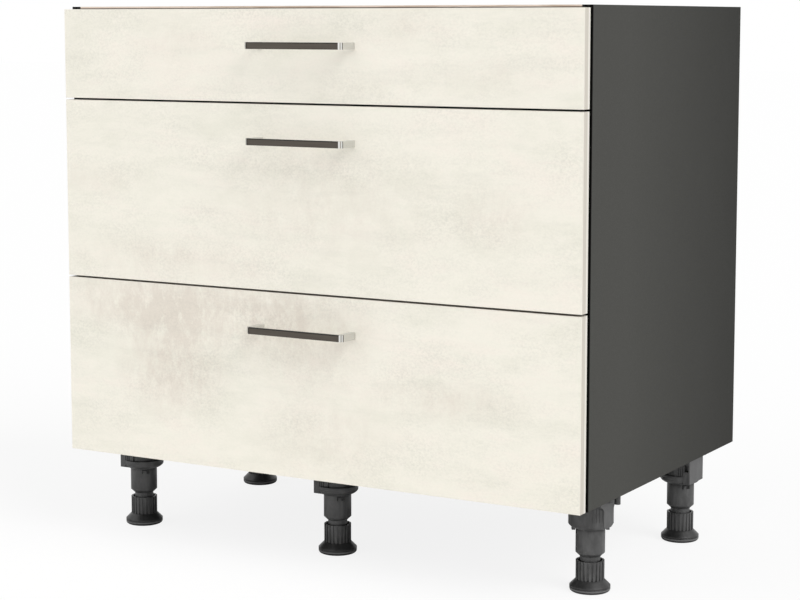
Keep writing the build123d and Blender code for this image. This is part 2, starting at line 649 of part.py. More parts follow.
def gallery_rails(front_z, label):
    """The pair of rods above a tall drawer's sides, from front bracket to rear holder."""
    start_y = SIDE_START_Y + SIDE_WIDTH / 2
    with BuildPart() as rods:
        with BuildSketch(across(start_y)):
            with Locations((SIDE_MID_X, front_z + GALLERY_RISE)):
                Circle(GALLERY_RADIUS)
        extrude(amount=-(DRAWER_BACK_Y - HOLDER_GAUGE - start_y))
        mirror(about=Plane.YZ)
    save(rods, label)


def drawer_bottom(front_z, label):
    """The board that lies on the flanges of the two steel sides."""
    with BuildPart() as board:
        with BuildSketch(Plane.XY.offset(front_z + DRAWER_BOARD_RISE)):
            with Locations((0, (FRONT_REAR_Y + DRAWER_END_Y) / 2)):
                Rectangle(2 * DRAWER_BOARD_HALF, DRAWER_LENGTH)
        extrude(amount=DRAWER_BOARD)
    save(board, label)


def drawer_back(front_z, tall, label):
    """The board that stands on the drawer's bottom between the sides."""
    top_rise = DEEP_BACK_RISE if tall else SIDE_TOP_RISE
    with BuildPart() as board:
        with BuildSketch(Plane.XY.offset(front_z + DRAWER_FLOOR_RISE)):
            with Locations((0, (DRAWER_BACK_Y + DRAWER_END_Y) / 2)):
                Rectangle(2 * DRAWER_BOARD_HALF, DRAWER_BOARD)
        extrude(amount=top_rise - DRAWER_FLOOR_RISE)
    save(board, label)


for name, front_z, front_height, tall in DRAWERS:
    handle_z = front_z + front_height - HANDLE_DROP
    cabinet_rails(front_z, f"cabinet_rails_{name}")
    middle_rails(front_z, f"middle_rails_{name}")
    drawer_rails(front_z, f"drawer_rails_{name}")
    front_panel(front_z, front_height, f"front_panel_{name}")
    edge_band(front_z, front_height, f"edge_band_{name}")
    handle_bar(handle_z, f"handle_bar_{name}")
    handle_inlay(handle_z, f"handle_inlay_{name}")
    handle_screws(handle_z, f"handle_screws_{name}")
    drawer_sides(front_z, tall, f"drawer_sides_{name}")
    front_brackets(front_z, tall, f"front_brackets_{name}")
    drawer_bottom(front_z, f"drawer_bottom_{name}")
    drawer_back(front_z, tall, f"drawer_back_{name}")
    if tall:
        gallery_rails(front_z, f"gallery_rails_{name}")

# ---------------------------------------------------------------- legs
# each plate has a block on its outer side; the front right one is a round bell with a flat cheek instead;
# a peg stands under each side board, just behind the front leg
with BuildPart() as leg_plates:
    for leg, x, y, turn in LEGS:
        cheeked = leg == CHEEKED_LEG
        if cheeked:
            waist = [(DISH_RADIUS, FLANGE_BASE_Z)]
        else:
            waist = [
                (PLATE_WALL_RADIUS, FLANGE_BASE_Z),
                (PLATE_WALL_RADIUS, DISH_TOP_Z),
                (DISH_RADIUS, DISH_TOP_Z),
            ]
        with BuildSketch(upright(x, y)):
            with BuildLine():
                Polyline(
                    (SOCKET_RADIUS, PLATE_BASE_Z),
                    (0, PLATE_BASE_Z),
                    (0, UNDERSIDE_Z),
                    (PLATE_RADIUS, UNDERSIDE_Z),
                    (PLATE_RADIUS, FLANGE_BASE_Z),
                    *waist,
                    (DISH_RADIUS, DISH_RIM_Z),
                )
                RadiusArc((DISH_RADIUS, DISH_RIM_Z), (SOCKET_RADIUS, PLATE_BASE_Z), DISH_ROUND)
            make_face()
        revolve(axis=leg_axis(x, y))
        flat_reach = CHEEK_REACH if cheeked else BLOCK_REACH
        with BuildSketch(turned(x, y, turn, PLATE_BASE_Z)):
            with Locations((flat_reach + PLATE_RADIUS / 2, 0)):
                Rectangle(PLATE_RADIUS, 2 * PLATE_RADIUS)
        extrude(amount=PLATE_DROP, mode=Mode.SUBTRACT)
        if cheeked:
            with BuildSketch(facing(x, y, turn, CHEEK_REACH)):
                with BuildLine():
                    shoulder = (CHEEK_TOP_HALF, UNDERSIDE_Z - CHEEK_SHOULDER)
                    flare_end = (CHEEK_HALF, UNDERSIDE_Z - CHEEK_SHOULDER - CHEEK_FLARE)
                    Polyline((0, UNDERSIDE_Z), (CHEEK_TOP_HALF, UNDERSIDE_Z), shoulder)
                    RadiusArc(shoulder, flare_end, -CHEEK_FLARE_ROUND)
                    Polyline(
                        flare_end,
                        (CHEEK_HALF, DISH_RIM_Z),
                        (CHEEK_BASE_HALF, PLATE_BASE_Z + BLOCK_LIFT),
                        (0, PLATE_BASE_Z + BLOCK_LIFT),
                        (0, UNDERSIDE_Z),
                    )
                make_face()
                mirror(about=Plane.YZ)
            extrude(amount=-CHEEK_GAUGE)
            with BuildSketch(turned(x, y, turn, DISH_TOP_Z)):
                for angle in CHEEK_RIB_ANGLES:
                    with PolarLocations(DISH_RADIUS, 1, start_angle=angle):
                        Rectangle(FLUTE_SIZE, FLUTE_SIZE)
            extrude(amount=FLANGE_BASE_Z - DISH_TOP_Z)
            with BuildSketch(turned(x, y, turn, PLATE_BASE_Z - HOOK_DROP)):
                with PolarLocations(HOOK_REACH, 2, start_angle=HOOK_ANGLE):
                    Rectangle(HOOK_DEPTH, HOOK_WIDTH)
            extrude(amount=HOOK_DROP + DISH_TAPER)
        else:
            with BuildSketch(turned(x, y, turn, PLATE_BASE_Z + BLOCK_LIFT)) as block:
                with Locations((BLOCK_REACH / 2, 0)):
                    Rectangle(BLOCK_REACH, BLOCK_WIDTH)
                fillet(block.vertices().group_by(Axis.X)[-1], radius=BLOCK_ROUND)
                flutes = [(reach, side * BLOCK_WIDTH / 2) for reach in BLOCK_FLUTES for side in (-1, 1)]
                with Locations(*flutes):
                    Rectangle(FLUTE_SIZE, FLUTE_SIZE, mode=Mode.SUBTRACT)
            extrude(amount=PLATE_DROP - BLOCK_LIFT)
            for side in (-1, 1):
                with BuildSketch(facing(x, y, turn + 90 * side, BLOCK_WIDTH / 2)):
                    with Locations((-side * BLOCK_SLOT_REACH, UNDERSIDE_Z - BLOCK_SLOT_DROP)):
                        Rectangle(BLOCK_SLOT_WIDTH, BLOCK_SLOT_HEIGHT)
                extrude(amount=-BLOCK_SLOT_DEPTH, mode=Mode.SUBTRACT)
        with BuildSketch(turned(x, y, turn, PLATE_BASE_Z)):
            Circle(SPIGOT_RADIUS + FIT_PLAY)
        extrude(amount=SPIGOT_LENGTH + FIT_PLAY, mode=Mode.SUBTRACT)
        with BuildSketch(Plane.XY.offset(UNDERSIDE_Z)):
            with Locations(*plate_screw_points(x, y, turn)):
                Circle(SCREW_RADIUS + FIT_PLAY)
        extrude(amount=-PLATE_FLANGE, mode=Mode.SUBTRACT)
    with BuildSketch(Plane.XY.offset(UNDERSIDE_Z)):
        with Locations((-SIDE_PEG_X, SIDE_PEG_Y), (SIDE_PEG_X, SIDE_PEG_Y)):
            Circle(SIDE_PEG_RADIUS)
    extrude(amount=-SIDE_PEG_LENGTH)
    with BuildSketch(Plane.XY.offset(UNDERSIDE_Z)):
        with Locations((-SIDE_PEG_X, SIDE_PEG_Y), (SIDE_PEG_X, SIDE_PEG_Y)):
            Circle(SCREW_RADIUS)
    extrude(amount=SCREW_BITE)
save(leg_plates, "leg_plates")

with BuildPart() as leg_screws:
    for leg, x, y, turn in LEGS:
        with BuildSketch(Plane.XY.offset(FLANGE_BASE_Z)):
            with Locations(*plate_screw_points(x, y, turn)):
                Circle(SCREW_HEAD_RADIUS)
        extrude(amount=-SCREW_HEAD_HEIGHT)
        with BuildSketch(Plane.XY.offset(FLANGE_BASE_Z)):
            with Locations(*plate_screw_points(x, y, turn)):
                Circle(SCREW_RADIUS)
        extrude(amount=PLATE_FLANGE + SCREW_BITE)
save(leg_screws, "leg_screws")

# a socket's windows stand on two opposite sides; the cheeked leg's are behind its hooks
with BuildPart() as leg_sockets:
    for leg, x, y, turn in LEGS:
        with BuildSketch(upright(x, y)):
            with BuildLine():
                Polyline(
                    (STEM_BORE, SOCKET_BASE_Z - SOCKET_TAPER),
                    (STEM_BORE + SOCKET_LIP, SOCKET_BASE_Z - SOCKET_TAPER),
                    (SOCKET_RADIUS, SOCKET_BASE_Z),
                    (SOCKET_RADIUS, PLATE_BASE_Z),
                    (SPIGOT_RADIUS, PLATE_BASE_Z),
                    (SPIGOT_RADIUS, SPIGOT_TOP_Z),
                    (0, SPIGOT_TOP_Z),
                    (0, STEM_BORE_TOP_Z),
                    (STEM_BORE, STEM_BORE_TOP_Z),
                    close=True,
                )
            make_face()
        revolve(axis=leg_axis(x, y))
        window_turn = HOOK_ANGLE if leg == CHEEKED_LEG else WINDOW_ANGLE
        for angle in (window_turn, window_turn + 180):
            with BuildSketch(facing(x, y, angle, SOCKET_RADIUS)):
                with Locations((0, WINDOW_Z)):
                    Rectangle(WINDOW_WIDTH, WINDOW_HEIGHT)
                with Locations((-WINDOW_LUG / 3, WINDOW_Z - (WINDOW_HEIGHT - WINDOW_LUG) / 2)):
                    Rectangle(WINDOW_LUG, WINDOW_LUG, mode=Mode.SUBTRACT)
            extrude(amount=-WINDOW_DEPTH, mode=Mode.SUBTRACT)
save(leg_sockets, "leg_sockets")


def leg_adjuster(x, y, label):
    """The ribbed barrel that is turned by hand, with the stem that runs up into the socket."""
    with BuildPart() as adjuster:
        with BuildSketch(upright(x, y)):
            with BuildLine():
                Polyline(
                    (FOOT_PIN_RADIUS + STEM_PLAY, FOOT_HEIGHT),
                    (BARREL_RADIUS, FOOT_HEIGHT),
                    (BARREL_RADIUS, BARREL_TOP_Z),
                    (BARREL_RADIUS - 2 * RIB_DEPTH, BARREL_TOP_Z),
                    (BARREL_RADIUS - 2 * RIB_DEPTH, BARREL_TOP_Z - BARREL_CUP),
                    (STEM_RADIUS, BARREL_TOP_Z - BARREL_CUP),
                    (STEM_RADIUS, STEM_TOP_Z),
                    (0, STEM_TOP_Z),
                    (0, FOOT_HEIGHT + FOOT_PIN_HEIGHT + STEM_PLAY),
                    (FOOT_PIN_RADIUS + STEM_PLAY, FOOT_HEIGHT + FOOT_PIN_HEIGHT + STEM_PLAY),
                    close=True,
                )
            make_face()
        revolve(axis=leg_axis(x, y))
        with BuildSketch(Plane.XY.offset(FOOT_HEIGHT)):
            with Locations((x, y)):
                with PolarLocations(BARREL_RADIUS, RIB_COUNT):
                    Rectangle(2 * RIB_DEPTH, RIB_WIDTH)
        extrude(amount=BARREL_HEIGHT)
    save(adjuster, label)


def leg_foot(x, y, label):
    """The round foot that stands on the floor, with the pin that the barrel turns on."""
    with BuildPart() as foot:
        with BuildSketch(upright(x, y)):
            with BuildLine():
                edge_round = FOOT_EDGE / 2
                Line((0, 0), (FOOT_RADIUS - edge_round, 0))
                RadiusArc((FOOT_RADIUS - edge_round, 0), (FOOT_RADIUS, edge_round), -edge_round)
                groove_z = (edge_round + FOOT_EDGE) / 2
                Polyline(
                    (FOOT_RADIUS, edge_round),
                    (FOOT_RADIUS, groove_z - FOOT_GROOVE),
                    (FOOT_RADIUS - FOOT_GROOVE, groove_z),
                    (FOOT_RADIUS, groove_z + FOOT_GROOVE),
                    (FOOT_RADIUS, FOOT_EDGE),
                    (BARREL_RADIUS + RIB_DEPTH, FOOT_HEIGHT),
                    (FOOT_PIN_RADIUS, FOOT_HEIGHT),
                    (FOOT_PIN_RADIUS, FOOT_HEIGHT + FOOT_PIN_HEIGHT),
                    (0, FOOT_HEIGHT + FOOT_PIN_HEIGHT),
                    (0, 0),
                )
            make_face()
        revolve(axis=leg_axis(x, y))
    save(foot, label)


for leg, x, y, turn in LEGS:
    leg_adjuster(x, y, f"leg_adjuster_{leg}")
    leg_foot(x, y, f"leg_foot_{leg}")
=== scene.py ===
"""Dresses the base cabinet with drawers: boards, decorated fronts, bow handles, runners and screw feet.

The packed model is loaded as a fixed frame. Each operator finishes one kind of piece: it gives the
pieces their material and fine edges, or stands a finer piece in the place of a plain one.
All lengths are metres in the frame's own axes: +X right, +Y to the back, +Z up, the floor at 0.
"""
import math

import bmesh
import bpy
from bpy.props import FloatProperty, FloatVectorProperty, PointerProperty
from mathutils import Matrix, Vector


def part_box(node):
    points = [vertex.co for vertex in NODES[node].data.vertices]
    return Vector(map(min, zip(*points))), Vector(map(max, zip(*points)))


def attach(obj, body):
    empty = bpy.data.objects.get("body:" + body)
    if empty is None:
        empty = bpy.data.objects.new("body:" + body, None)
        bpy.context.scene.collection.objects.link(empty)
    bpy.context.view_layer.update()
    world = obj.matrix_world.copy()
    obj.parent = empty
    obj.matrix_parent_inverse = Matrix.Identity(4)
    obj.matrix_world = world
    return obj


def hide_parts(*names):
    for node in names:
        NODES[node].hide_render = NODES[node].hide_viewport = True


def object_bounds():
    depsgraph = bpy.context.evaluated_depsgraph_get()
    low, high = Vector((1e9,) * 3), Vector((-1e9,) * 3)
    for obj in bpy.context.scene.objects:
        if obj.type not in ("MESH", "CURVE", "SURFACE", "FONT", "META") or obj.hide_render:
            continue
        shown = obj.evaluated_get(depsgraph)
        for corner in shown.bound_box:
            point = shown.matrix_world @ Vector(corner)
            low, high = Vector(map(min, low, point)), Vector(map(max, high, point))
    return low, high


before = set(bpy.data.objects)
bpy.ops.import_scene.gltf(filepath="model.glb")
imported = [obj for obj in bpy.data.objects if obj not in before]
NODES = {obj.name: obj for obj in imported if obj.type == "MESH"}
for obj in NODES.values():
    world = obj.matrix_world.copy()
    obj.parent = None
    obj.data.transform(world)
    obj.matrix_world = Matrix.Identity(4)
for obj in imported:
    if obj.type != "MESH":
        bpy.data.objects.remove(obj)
CAD_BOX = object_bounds()

bl_info = {
    "name": "Base cabinet with drawers",
    "version": (1, 0, 0),
    "blender": (4, 5, 0),
    "location": "3D View > Sidebar > Cabinet",
    "description": "Dresses a kitchen base cabinet with three drawers and five screw feet",
    "category": "Object",
}

DRAWERS = sorted(name.removeprefix("front_panel_") for name in NODES if name.startswith("front_panel_"))
LEGS = sorted(name.removeprefix("leg_foot_") for name in NODES if name.startswith("leg_foot_"))
MILLIMETRE = 0.001
JOIN_DISTANCE = 0.01 * MILLIMETRE
SHARP_EDGE = math.radians(35)
SENSOR_WIDTH = 36.0
BLACK = (0.0, 0.0, 0.0)
WHITE = (1.0, 1.0, 1.0)

# a size that reaches past everything along its axis
ENDLESS = 1.0e6

# the decor's brown stains on each front, as (x, z, half width, half height, strength)
STAINS = {
    "top": [
        (-0.226, 0.793, 0.110, 0.060, 0.45),
        (0.168, 0.820, 0.090, 0.045, 0.50),
        (0.068, 0.730, 0.130, 0.030, 0.40),
        (0.300, 0.745, 0.150, 0.035, 0.35),
    ],
    "middle": [
        (0.037, 0.560, 0.260, 0.120, 0.60),
        (-0.259, 0.463, 0.240, 0.045, 0.70),
        (0.310, 0.549, 0.080, 0.060, 0.75),
        (-0.400, 0.580, 0.120, 0.030, 0.50),
    ],
    "bottom": [
        (-0.241, 0.392, 0.260, 0.070, 2.00),
        (-0.247, 0.304, 0.120, 0.110, 1.70),
        (-0.007, 0.372, 0.150, 0.110, 1.30),
        (0.036, 0.215, 0.160, 0.090, 0.70),
        (0.230, 0.286, 0.170, 0.040, 0.90),
    ],
}
# from one front to the next the decor is cut from another place of the sheet
SHEET_STEP = (2.3, 0.0, 3.7)

# the rings of a screw's head, as shares of its radius and its height
HEAD_PROFILE = ((0.74, 0.92), (0.92, 0.66), (1.0, 0.26), (1.0, 0.0))
# the cross recess's reach as a share of the head's radius, and how much of its outline its floor keeps
RECESS_REACH = 0.56
RECESS_FLOOR = 0.55
# where the thread's first crest is, as a share of the pitch
THREAD_START = 0.4
# the thread's root, the length kept free of thread, the point's length and its blunt end, in shank radii
THREAD_ROOT = 0.76
BARE_END = 2.0
POINT_LENGTH = 1.6
POINT_BLUNT = 0.1


# ---------------------------------------------------------------- settings
def paint(red, green, blue):
    """A colour written in screen values from 0 to 255, as the linear values that a shader takes."""
    linear = []
    for value in (red, green, blue):
        share = value / 255
        linear.append(share / 12.92 if share <= 0.04045 else ((share + 0.055) / 1.055) ** 2.4)
    return tuple(linear)


def colour_setting(name, description, *screen_values):
    """A colour that the user can change."""
    return FloatVectorProperty(name=name, description=description, subtype="COLOR", size=3,
                               min=0.0, max=1.0, default=paint(*screen_values))


def length_setting(name, description, default):
    """A length in metres that the user can change."""
    return FloatProperty(name=name, description=description, subtype="DISTANCE", unit="LENGTH",
                         min=0.0, default=default)


def share_setting(name, description, default):
    """A number from 0 to 1 that the user can change."""
    return FloatProperty(name=name, description=description, subtype="FACTOR",
                         min=0.0, max=1.0, default=default)


def angle_setting(name, description, default):
    """An angle in radians that the user can change."""
    return FloatProperty(name=name, description=description, subtype="ANGLE", default=default)


def strength_setting(name, description, default):
    """A lamp's strength that the user can change."""
    return FloatProperty(name=name, description=description, min=0.0, default=default)


def direction_setting(name, description, default):
    """A direction that the user can change."""
    return FloatVectorProperty(name=name, description=description, subtype="DIRECTION", size=3,
                               default=default)


class CarcassSettings(bpy.types.PropertyGroup):
    """Finish of the boards that make the carcass."""

    board: colour_setting("Board", "Main tone of the side boards' melamine", 69, 69, 66)
    board_fleck: colour_setting("Board fleck", "Lighter flecks in the melamine", 78, 78, 75)
    board_edge: colour_setting("Board edge", "Black banding on the boards' front edges", 14, 14, 13)
    # painted shade: the side boards are painted darker towards the back, in place of the light falling off
    # along them
    fade: share_setting("Fade", "How much darker the boards are at the back", 0.46)
    rail: colour_setting("Rail", "Main tone of the rails' light wood decor", 236, 220, 206)
    # painted shadow: a dark line painted on the front rail in the gap over the top front, where the gap's
    # shadow falls
    rail_gap_shadow: colour_setting("Rail line", "Dark line in the gap over the top front", 44, 28, 17)
    rail_grain: colour_setting("Rail grain", "Darker grain in the rails' decor", 196, 176, 157)
    back: colour_setting("Back", "Tone of the thin back board", 82, 82, 80)
    # painted shadow: height of the gap's shadow painted on the front rail
    gap_shadow_height: length_setting("Line height", "Height of the dark line over the top front", 0.0014)
    banding: length_setting("Banding", "How far the front edges' banding reaches back", 0.0020)
    edge_round: length_setting("Edge round", "How far the boards' edges are rounded", 0.0005)


class FrontSettings(bpy.types.PropertyGroup):
    """Finish of the drawer fronts."""

    pale: colour_setting("Pale tone", "Main tone of the concrete decor", 240, 236, 224)
    rosy: colour_setting("Rosy tone", "Warm clouds in the decor", 242, 235, 224)
    mossy: colour_setting("Mossy tone", "Cool clouds in the decor", 233, 230, 217)
    sandy: colour_setting("Sandy tone", "Brown stains in the decor", 224, 216, 204)
    edge_face: colour_setting("Edging, face", "Tone of the edging seen from the front", 240, 236, 225)
    # painted shade: the edging's front and rear parts are darker than its face, standing in for the shade
    # across the edging's side, darkest next to the face
    edge_shade_front: colour_setting("Edging, front part", "Tone of the edging next to the face", 196, 190, 179)
    edge_shade_rear: colour_setting("Edging, rear part", "Tone of the edging next to the carcass", 222, 218, 209)
    cloud_size: length_setting("Cloud size", "Rough width of the decor's clouds", 0.18)
    edge_round: length_setting("Edge round", "How far the banding's edges are rounded", 0.0003)


class HandleSettings(bpy.types.PropertyGroup):
    """Finish of the bow handles."""

    metal: colour_setting("Metal", "Tone of the bow's brushed metal", 214, 214, 211)
    seam: colour_setting("Seam", "Dark seam between the bevel and the leg of the bow", 70, 66, 60)
    bevel_line: colour_setting("Bevel line", "Fine line along the middle of the bevel", 150, 146, 138)
    seam_width: length_setting("Seam width", "Width of the bow's fine lines", 0.0012)
    inlay: colour_setting("Inlay", "Tone of the dark strip in the bow", 68, 62, 54)
    inlay_light: colour_setting("Inlay, light", "Lighter brush marks in the dark strip", 86, 80, 73)
    # painted shadow: a dark line along the strip's top and left end, in place of the shade at the edges of
    # its recess
    inlay_shadow: colour_setting("Inlay, line", "Dark line along the strip's top and left end", 34, 31, 28)
    step: length_setting("Step", "Depth of the fine step along the strip", 0.0006)
    crown: length_setting("Crown", "How far the strip's face is crowned", 0.0002)
    # painted shadow: width of the strip's painted shadow line
    line_width: length_setting("Line width", "Width of the strip's dark line", 0.0012)
    edge_round: length_setting("Edge round", "How far the handles' edges are rounded", 0.0003)


class DrawerSettings(bpy.types.PropertyGroup):
    """Finish of the drawer boxes and the runners."""

    side_steel: colour_setting("Side steel", "Coating of the drawers' steel sides", 150, 152, 152)
    bracket: colour_setting("Bracket", "Tone of the front brackets", 168, 170, 171)
    runner: colour_setting("Runner", "Zinc plate of the runners", 176, 179, 180)
    board: colour_setting("Drawer board", "Melamine of the drawers' bottom and back", 203, 203, 199)
    edge_round: length_setting("Edge round", "How far the drawers' edges are rounded", 0.0004)


class FittingSettings(bpy.types.PropertyGroup):
    """Finish of the screws, cam housings and dowels."""

    zinc: colour_setting("Zinc", "Plating of the screws and cam housings", 190, 188, 182)
    dowel: colour_setting("Dowel", "Beech of the dowels", 214, 186, 148)
    head_radius: length_setting("Head radius", "Radius of a screw's head", 0.0036)
    head_height: length_setting("Head height", "Height of a screw's head", 0.0020)
    shank_radius: length_setting("Shank radius", "Radius over a screw's thread", 0.0020)
    thread_pitch: length_setting("Thread pitch", "Distance between two turns of the thread", 0.0018)
    recess_width: length_setting("Recess width", "Width of the arms of the cross recess", 0.0011)
    recess_depth: length_setting("Recess depth", "Depth of the cross recess", 0.0014)
    edge_round: length_setting("Edge round", "How far the fittings' edges are rounded", 0.0003)


class LegSettings(bpy.types.PropertyGroup):
    """Finish of the screw feet."""

    plastic: colour_setting("Plastic", "Main tone of the moulded plastic", 62, 62, 62)
    plastic_worn: colour_setting("Plastic, rubbed", "Tone of the plastic where it is rubbed", 90, 90, 90)
    # painted shade: the inside of the sockets' windows is painted dark, where shade falls in them
    window: colour_setting("Window", "Dark inside of the sockets' windows", 14, 14, 14)
    window_recess: length_setting("Window recess", "Depth from which a window is dark", 0.0008)
    window_low: length_setting("Windows, low", "From the sockets' lower ends to the windows", 0.033)
    window_high: length_setting("Windows, high", "From the sockets' lower ends to the windows' tops", 0.040)
    # painted highlight: a light line along the feet's rims, where light catches them
    foot_highlight: colour_setting("Rim line", "Light line along the feet's rims", 120, 120, 120)
    highlight_bottom: length_setting("Rim line, low", "Height of the rim line's lower edge", 0.0040)
    highlight_top: length_setting("Rim line, high", "Height of the rim line's upper edge", 0.0052)
    highlight_blur: length_setting("Rim line, blur", "How softly the rim line ends", 0.0010)
    # painted shade: the feet get a darker copy of the legs' plastic, standing in for their upward faces
    # mirroring the cabinet's dark underside
    foot: colour_setting("Foot", "Main tone of the feet's plastic", 38, 38, 38)
    foot_worn: colour_setting("Foot, rubbed", "Tone of the feet where they are rubbed", 56, 56, 56)
    # painted shade: how deep the crevices reach that are painted dark, where shade falls in them
    crevice_shade_reach: length_setting("Grime reach", "How deep the plastic's dark crevices are", 0.010)
    plate_crevice_shade: length_setting("Plate grime", "How deep the plates' dark crevices are", 0.002)
    edge_round: length_setting("Edge round", "How far the plastic's edges are rounded", 0.0006)


class StageSettings(bpy.types.PropertyGroup):
    """Camera, light and floor."""

    camera_place: FloatVectorProperty(
        name="Camera", description="Where the camera stands", subtype="TRANSLATION", unit="LENGTH",
        size=3, default=(1.6195, -2.7864, 0.8249))
    camera_turn: angle_setting("Turn", "How far the camera is turned to the left of +Y", 0.5259)
    camera_tilt: angle_setting("Tilt", "How far the camera looks down", 0.1118)
    focal_length: FloatProperty(
        name="Focal length", description="Millimetres on a 36 mm sensor", min=1.0, default=91.566)
    shift: FloatProperty(
        name="Shift", description="Upright shift of the picture, in picture widths", default=-0.0625)
    key_strength: strength_setting("Key light", "Strength of the soft light from the front left", 0.78)
    key_from: direction_setting("Key light from", "Where the key light stands", (-0.55, -1.0, 0.75))
    key_angle: angle_setting("Key light angle", "How soft the key light is", math.radians(70))
    fill_strength: strength_setting("Fill light", "Strength of the soft light from the right", 1.9)
    fill_from: direction_setting("Fill light from", "Where the fill light stands", (1.0, -0.3, 0.8))
    fill_angle: angle_setting("Fill light angle", "How soft the fill light is", math.radians(40))
    sky_strength: share_setting("Sky", "Brightness of the white room all round", 0.50)
    floor_half: length_setting("Floor", "Half the width of the floor", 30.0)
    floor_tone: share_setting("Floor tone", "How much light the floor gives back", 0.96)
    floor_glow: share_setting("Floor glow", "How much the camera sees the floor as plain white", 0.86)


# ---------------------------------------------------------------- shader parts
def new_material(name):
    """An empty material: itself, its node tree, its shader and the piece's own coordinates."""
    material = bpy.data.materials.new(name)
    material.use_nodes = True
    tree = material.node_tree
    shader = tree.nodes["Principled BSDF"]
    coordinates = tree.nodes.new("ShaderNodeTexCoord").outputs["Object"]
    return material, tree, shader, coordinates


def opened(material):
    """The node tree, the shader and the piece's own coordinates of a material that is already made."""
    tree = material.node_tree
    own = next(node for node in tree.nodes if node.bl_idname == "ShaderNodeTexCoord").outputs["Object"]
    return tree, tree.nodes["Principled BSDF"], own


def connect(tree, given, socket):
    """Put something on a socket: another socket is linked, and a colour or a number is set."""
    if isinstance(given, bpy.types.NodeSocket):
        tree.links.new(given, socket)
    elif socket.type == "RGBA":
        socket.default_value = (*given, 1.0)
    else:
        socket.default_value = given


def grey(share):
    """A neutral tone between black at 0 and white at 1."""
    return (share, share, share)


def scaled(colour, share):
    """A colour made darker or lighter by a share."""
    return tuple(min(1.0, share * value) for value in colour)


def calculated(tree, operation, *values):
    """The result of a math node for numbers or sockets."""
    node = tree.nodes.new("ShaderNodeMath")
    node.operation = operation
    for value, socket in zip(values, node.inputs):
        connect(tree, value, socket)
    return node.outputs["Value"]


def product(tree, first, second):
    """Two values multiplied, and held between 0 and 1."""
    result = calculated(tree, "MULTIPLY", first, second)
    result.node.use_clamp = True
    return result


def along(tree, coordinates, axis):
    """One of the three coordinates: X, Y or Z."""
    split = tree.nodes.new("ShaderNodeSeparateXYZ")
    tree.links.new(coordinates, split.inputs["Vector"])
    return split.outputs[axis]


def stretched(tree, coordinates, x=1.0, y=1.0, z=1.0, shift=(0.0, 0.0, 0.0)):
    """The coordinates scaled along each axis, so that a pattern is drawn out or squeezed."""
    mapping = tree.nodes.new("ShaderNodeMapping")
    mapping.inputs["Scale"].default_value = (x, y, z)
    mapping.inputs["Location"].default_value = shift
    tree.links.new(coordinates, mapping.inputs["Vector"])
    return mapping.outputs["Vector"]


def cloudy(tree, coordinates, scale, detail=4.0, roughness=0.5, distortion=0.0):
    """A noise pattern's value, about 0.3 to 0.7."""
    pattern = tree.nodes.new("ShaderNodeTexNoise")
    pattern.inputs["Scale"].default_value = scale
    pattern.inputs["Detail"].default_value = detail
    pattern.inputs["Roughness"].default_value = roughness
    pattern.inputs["Distortion"].default_value = distortion
    tree.links.new(coordinates, pattern.inputs["Vector"])
    return pattern.outputs["Fac"]


def spotted(tree, coordinates, spots):
    """A value that fades out round each spot, which is (middle, half sizes, value at its middle)."""
    total = 0.0
    for middle, half_sizes, strength in spots:
        mapping = tree.nodes.new("ShaderNodeMapping")
        mapping.vector_type = "TEXTURE"
        mapping.inputs["Location"].default_value = middle
        mapping.inputs["Scale"].default_value = half_sizes
        tree.links.new(coordinates, mapping.inputs["Vector"])
        ball = tree.nodes.new("ShaderNodeTexGradient")
        ball.gradient_type = "SPHERICAL"
        tree.links.new(mapping.outputs["Vector"], ball.inputs["Vector"])
        total = calculated(tree, "MULTIPLY_ADD", ball.outputs["Fac"], strength, total)
    return total


def tones(tree, value, *stops):
    """A colour for each value: stops are (value, colour) pairs."""
    node = tree.nodes.new("ShaderNodeValToRGB")
    ramp = node.color_ramp
    for element, (place, colour) in zip(ramp.elements, (stops[0], stops[-1])):
        element.position = place
        element.color = (*colour, 1.0)
    for place, colour in stops[1:-1]:
        ramp.elements.new(place).color = (*colour, 1.0)
    tree.links.new(value, node.inputs["Fac"])
    return node.outputs["Color"]


def spread(tree, value, low, high, start=0.3, end=0.7):
    """The value carried from the range start to end over to the range low to high."""
    node = tree.nodes.new("ShaderNodeMapRange")
    node.inputs["From Min"].default_value = start
    node.inputs["From Max"].default_value = end
    node.inputs["To Min"].default_value = low
    node.inputs["To Max"].default_value = high
    tree.links.new(value, node.inputs["Value"])
    return node.outputs["Result"]


def rising(tree, value, start, end):
    """0 below start, 1 above end."""
    return spread(tree, value, 0.0, 1.0, start, end)


def falling(tree, value, start, end):
    """1 below start, 0 above end."""
    return spread(tree, value, 1.0, 0.0, start, end)


def mixed(tree, share, first, second, blend="MIX"):
    """Two colours mixed by a share, which is a number or a socket."""
    node = tree.nodes.new("ShaderNodeMix")
    node.data_type = "RGBA"
    node.blend_type = blend
    connect(tree, share, node.inputs["Factor"])
    # a Mix node has sockets for each kind of value: inputs 6 and 7 and output 2 are those for colours
    connect(tree, first, node.inputs[6])
    connect(tree, second, node.inputs[7])
    return node.outputs[2]


def shaded(tree, colour, shade):
    """A colour darkened by another one."""
    return mixed(tree, 1.0, colour, shade, "MULTIPLY")


def paint_over(tree, shader, share, colour):
    """Paint a colour over what a shader already shows, by a share."""
    before = shader.inputs["Base Color"].links[0].from_socket
    tree.links.new(mixed(tree, share, before, colour), shader.inputs["Base Color"])


def roughen(tree, shader, value, low, high):
    """Let a pattern vary how dull the surface is."""
    tree.links.new(spread(tree, value, low, high), shader.inputs["Roughness"])


def emboss(tree, shader, value, depth, strength):
    """Let a pattern raise and lower the surface by depth, in metres."""
    bump = tree.nodes.new("ShaderNodeBump")
    bump.inputs["Distance"].default_value = depth
    bump.inputs["Strength"].default_value = strength
    tree.links.new(value, bump.inputs["Height"])
    tree.links.new(bump.outputs["Normal"], shader.inputs["Normal"])


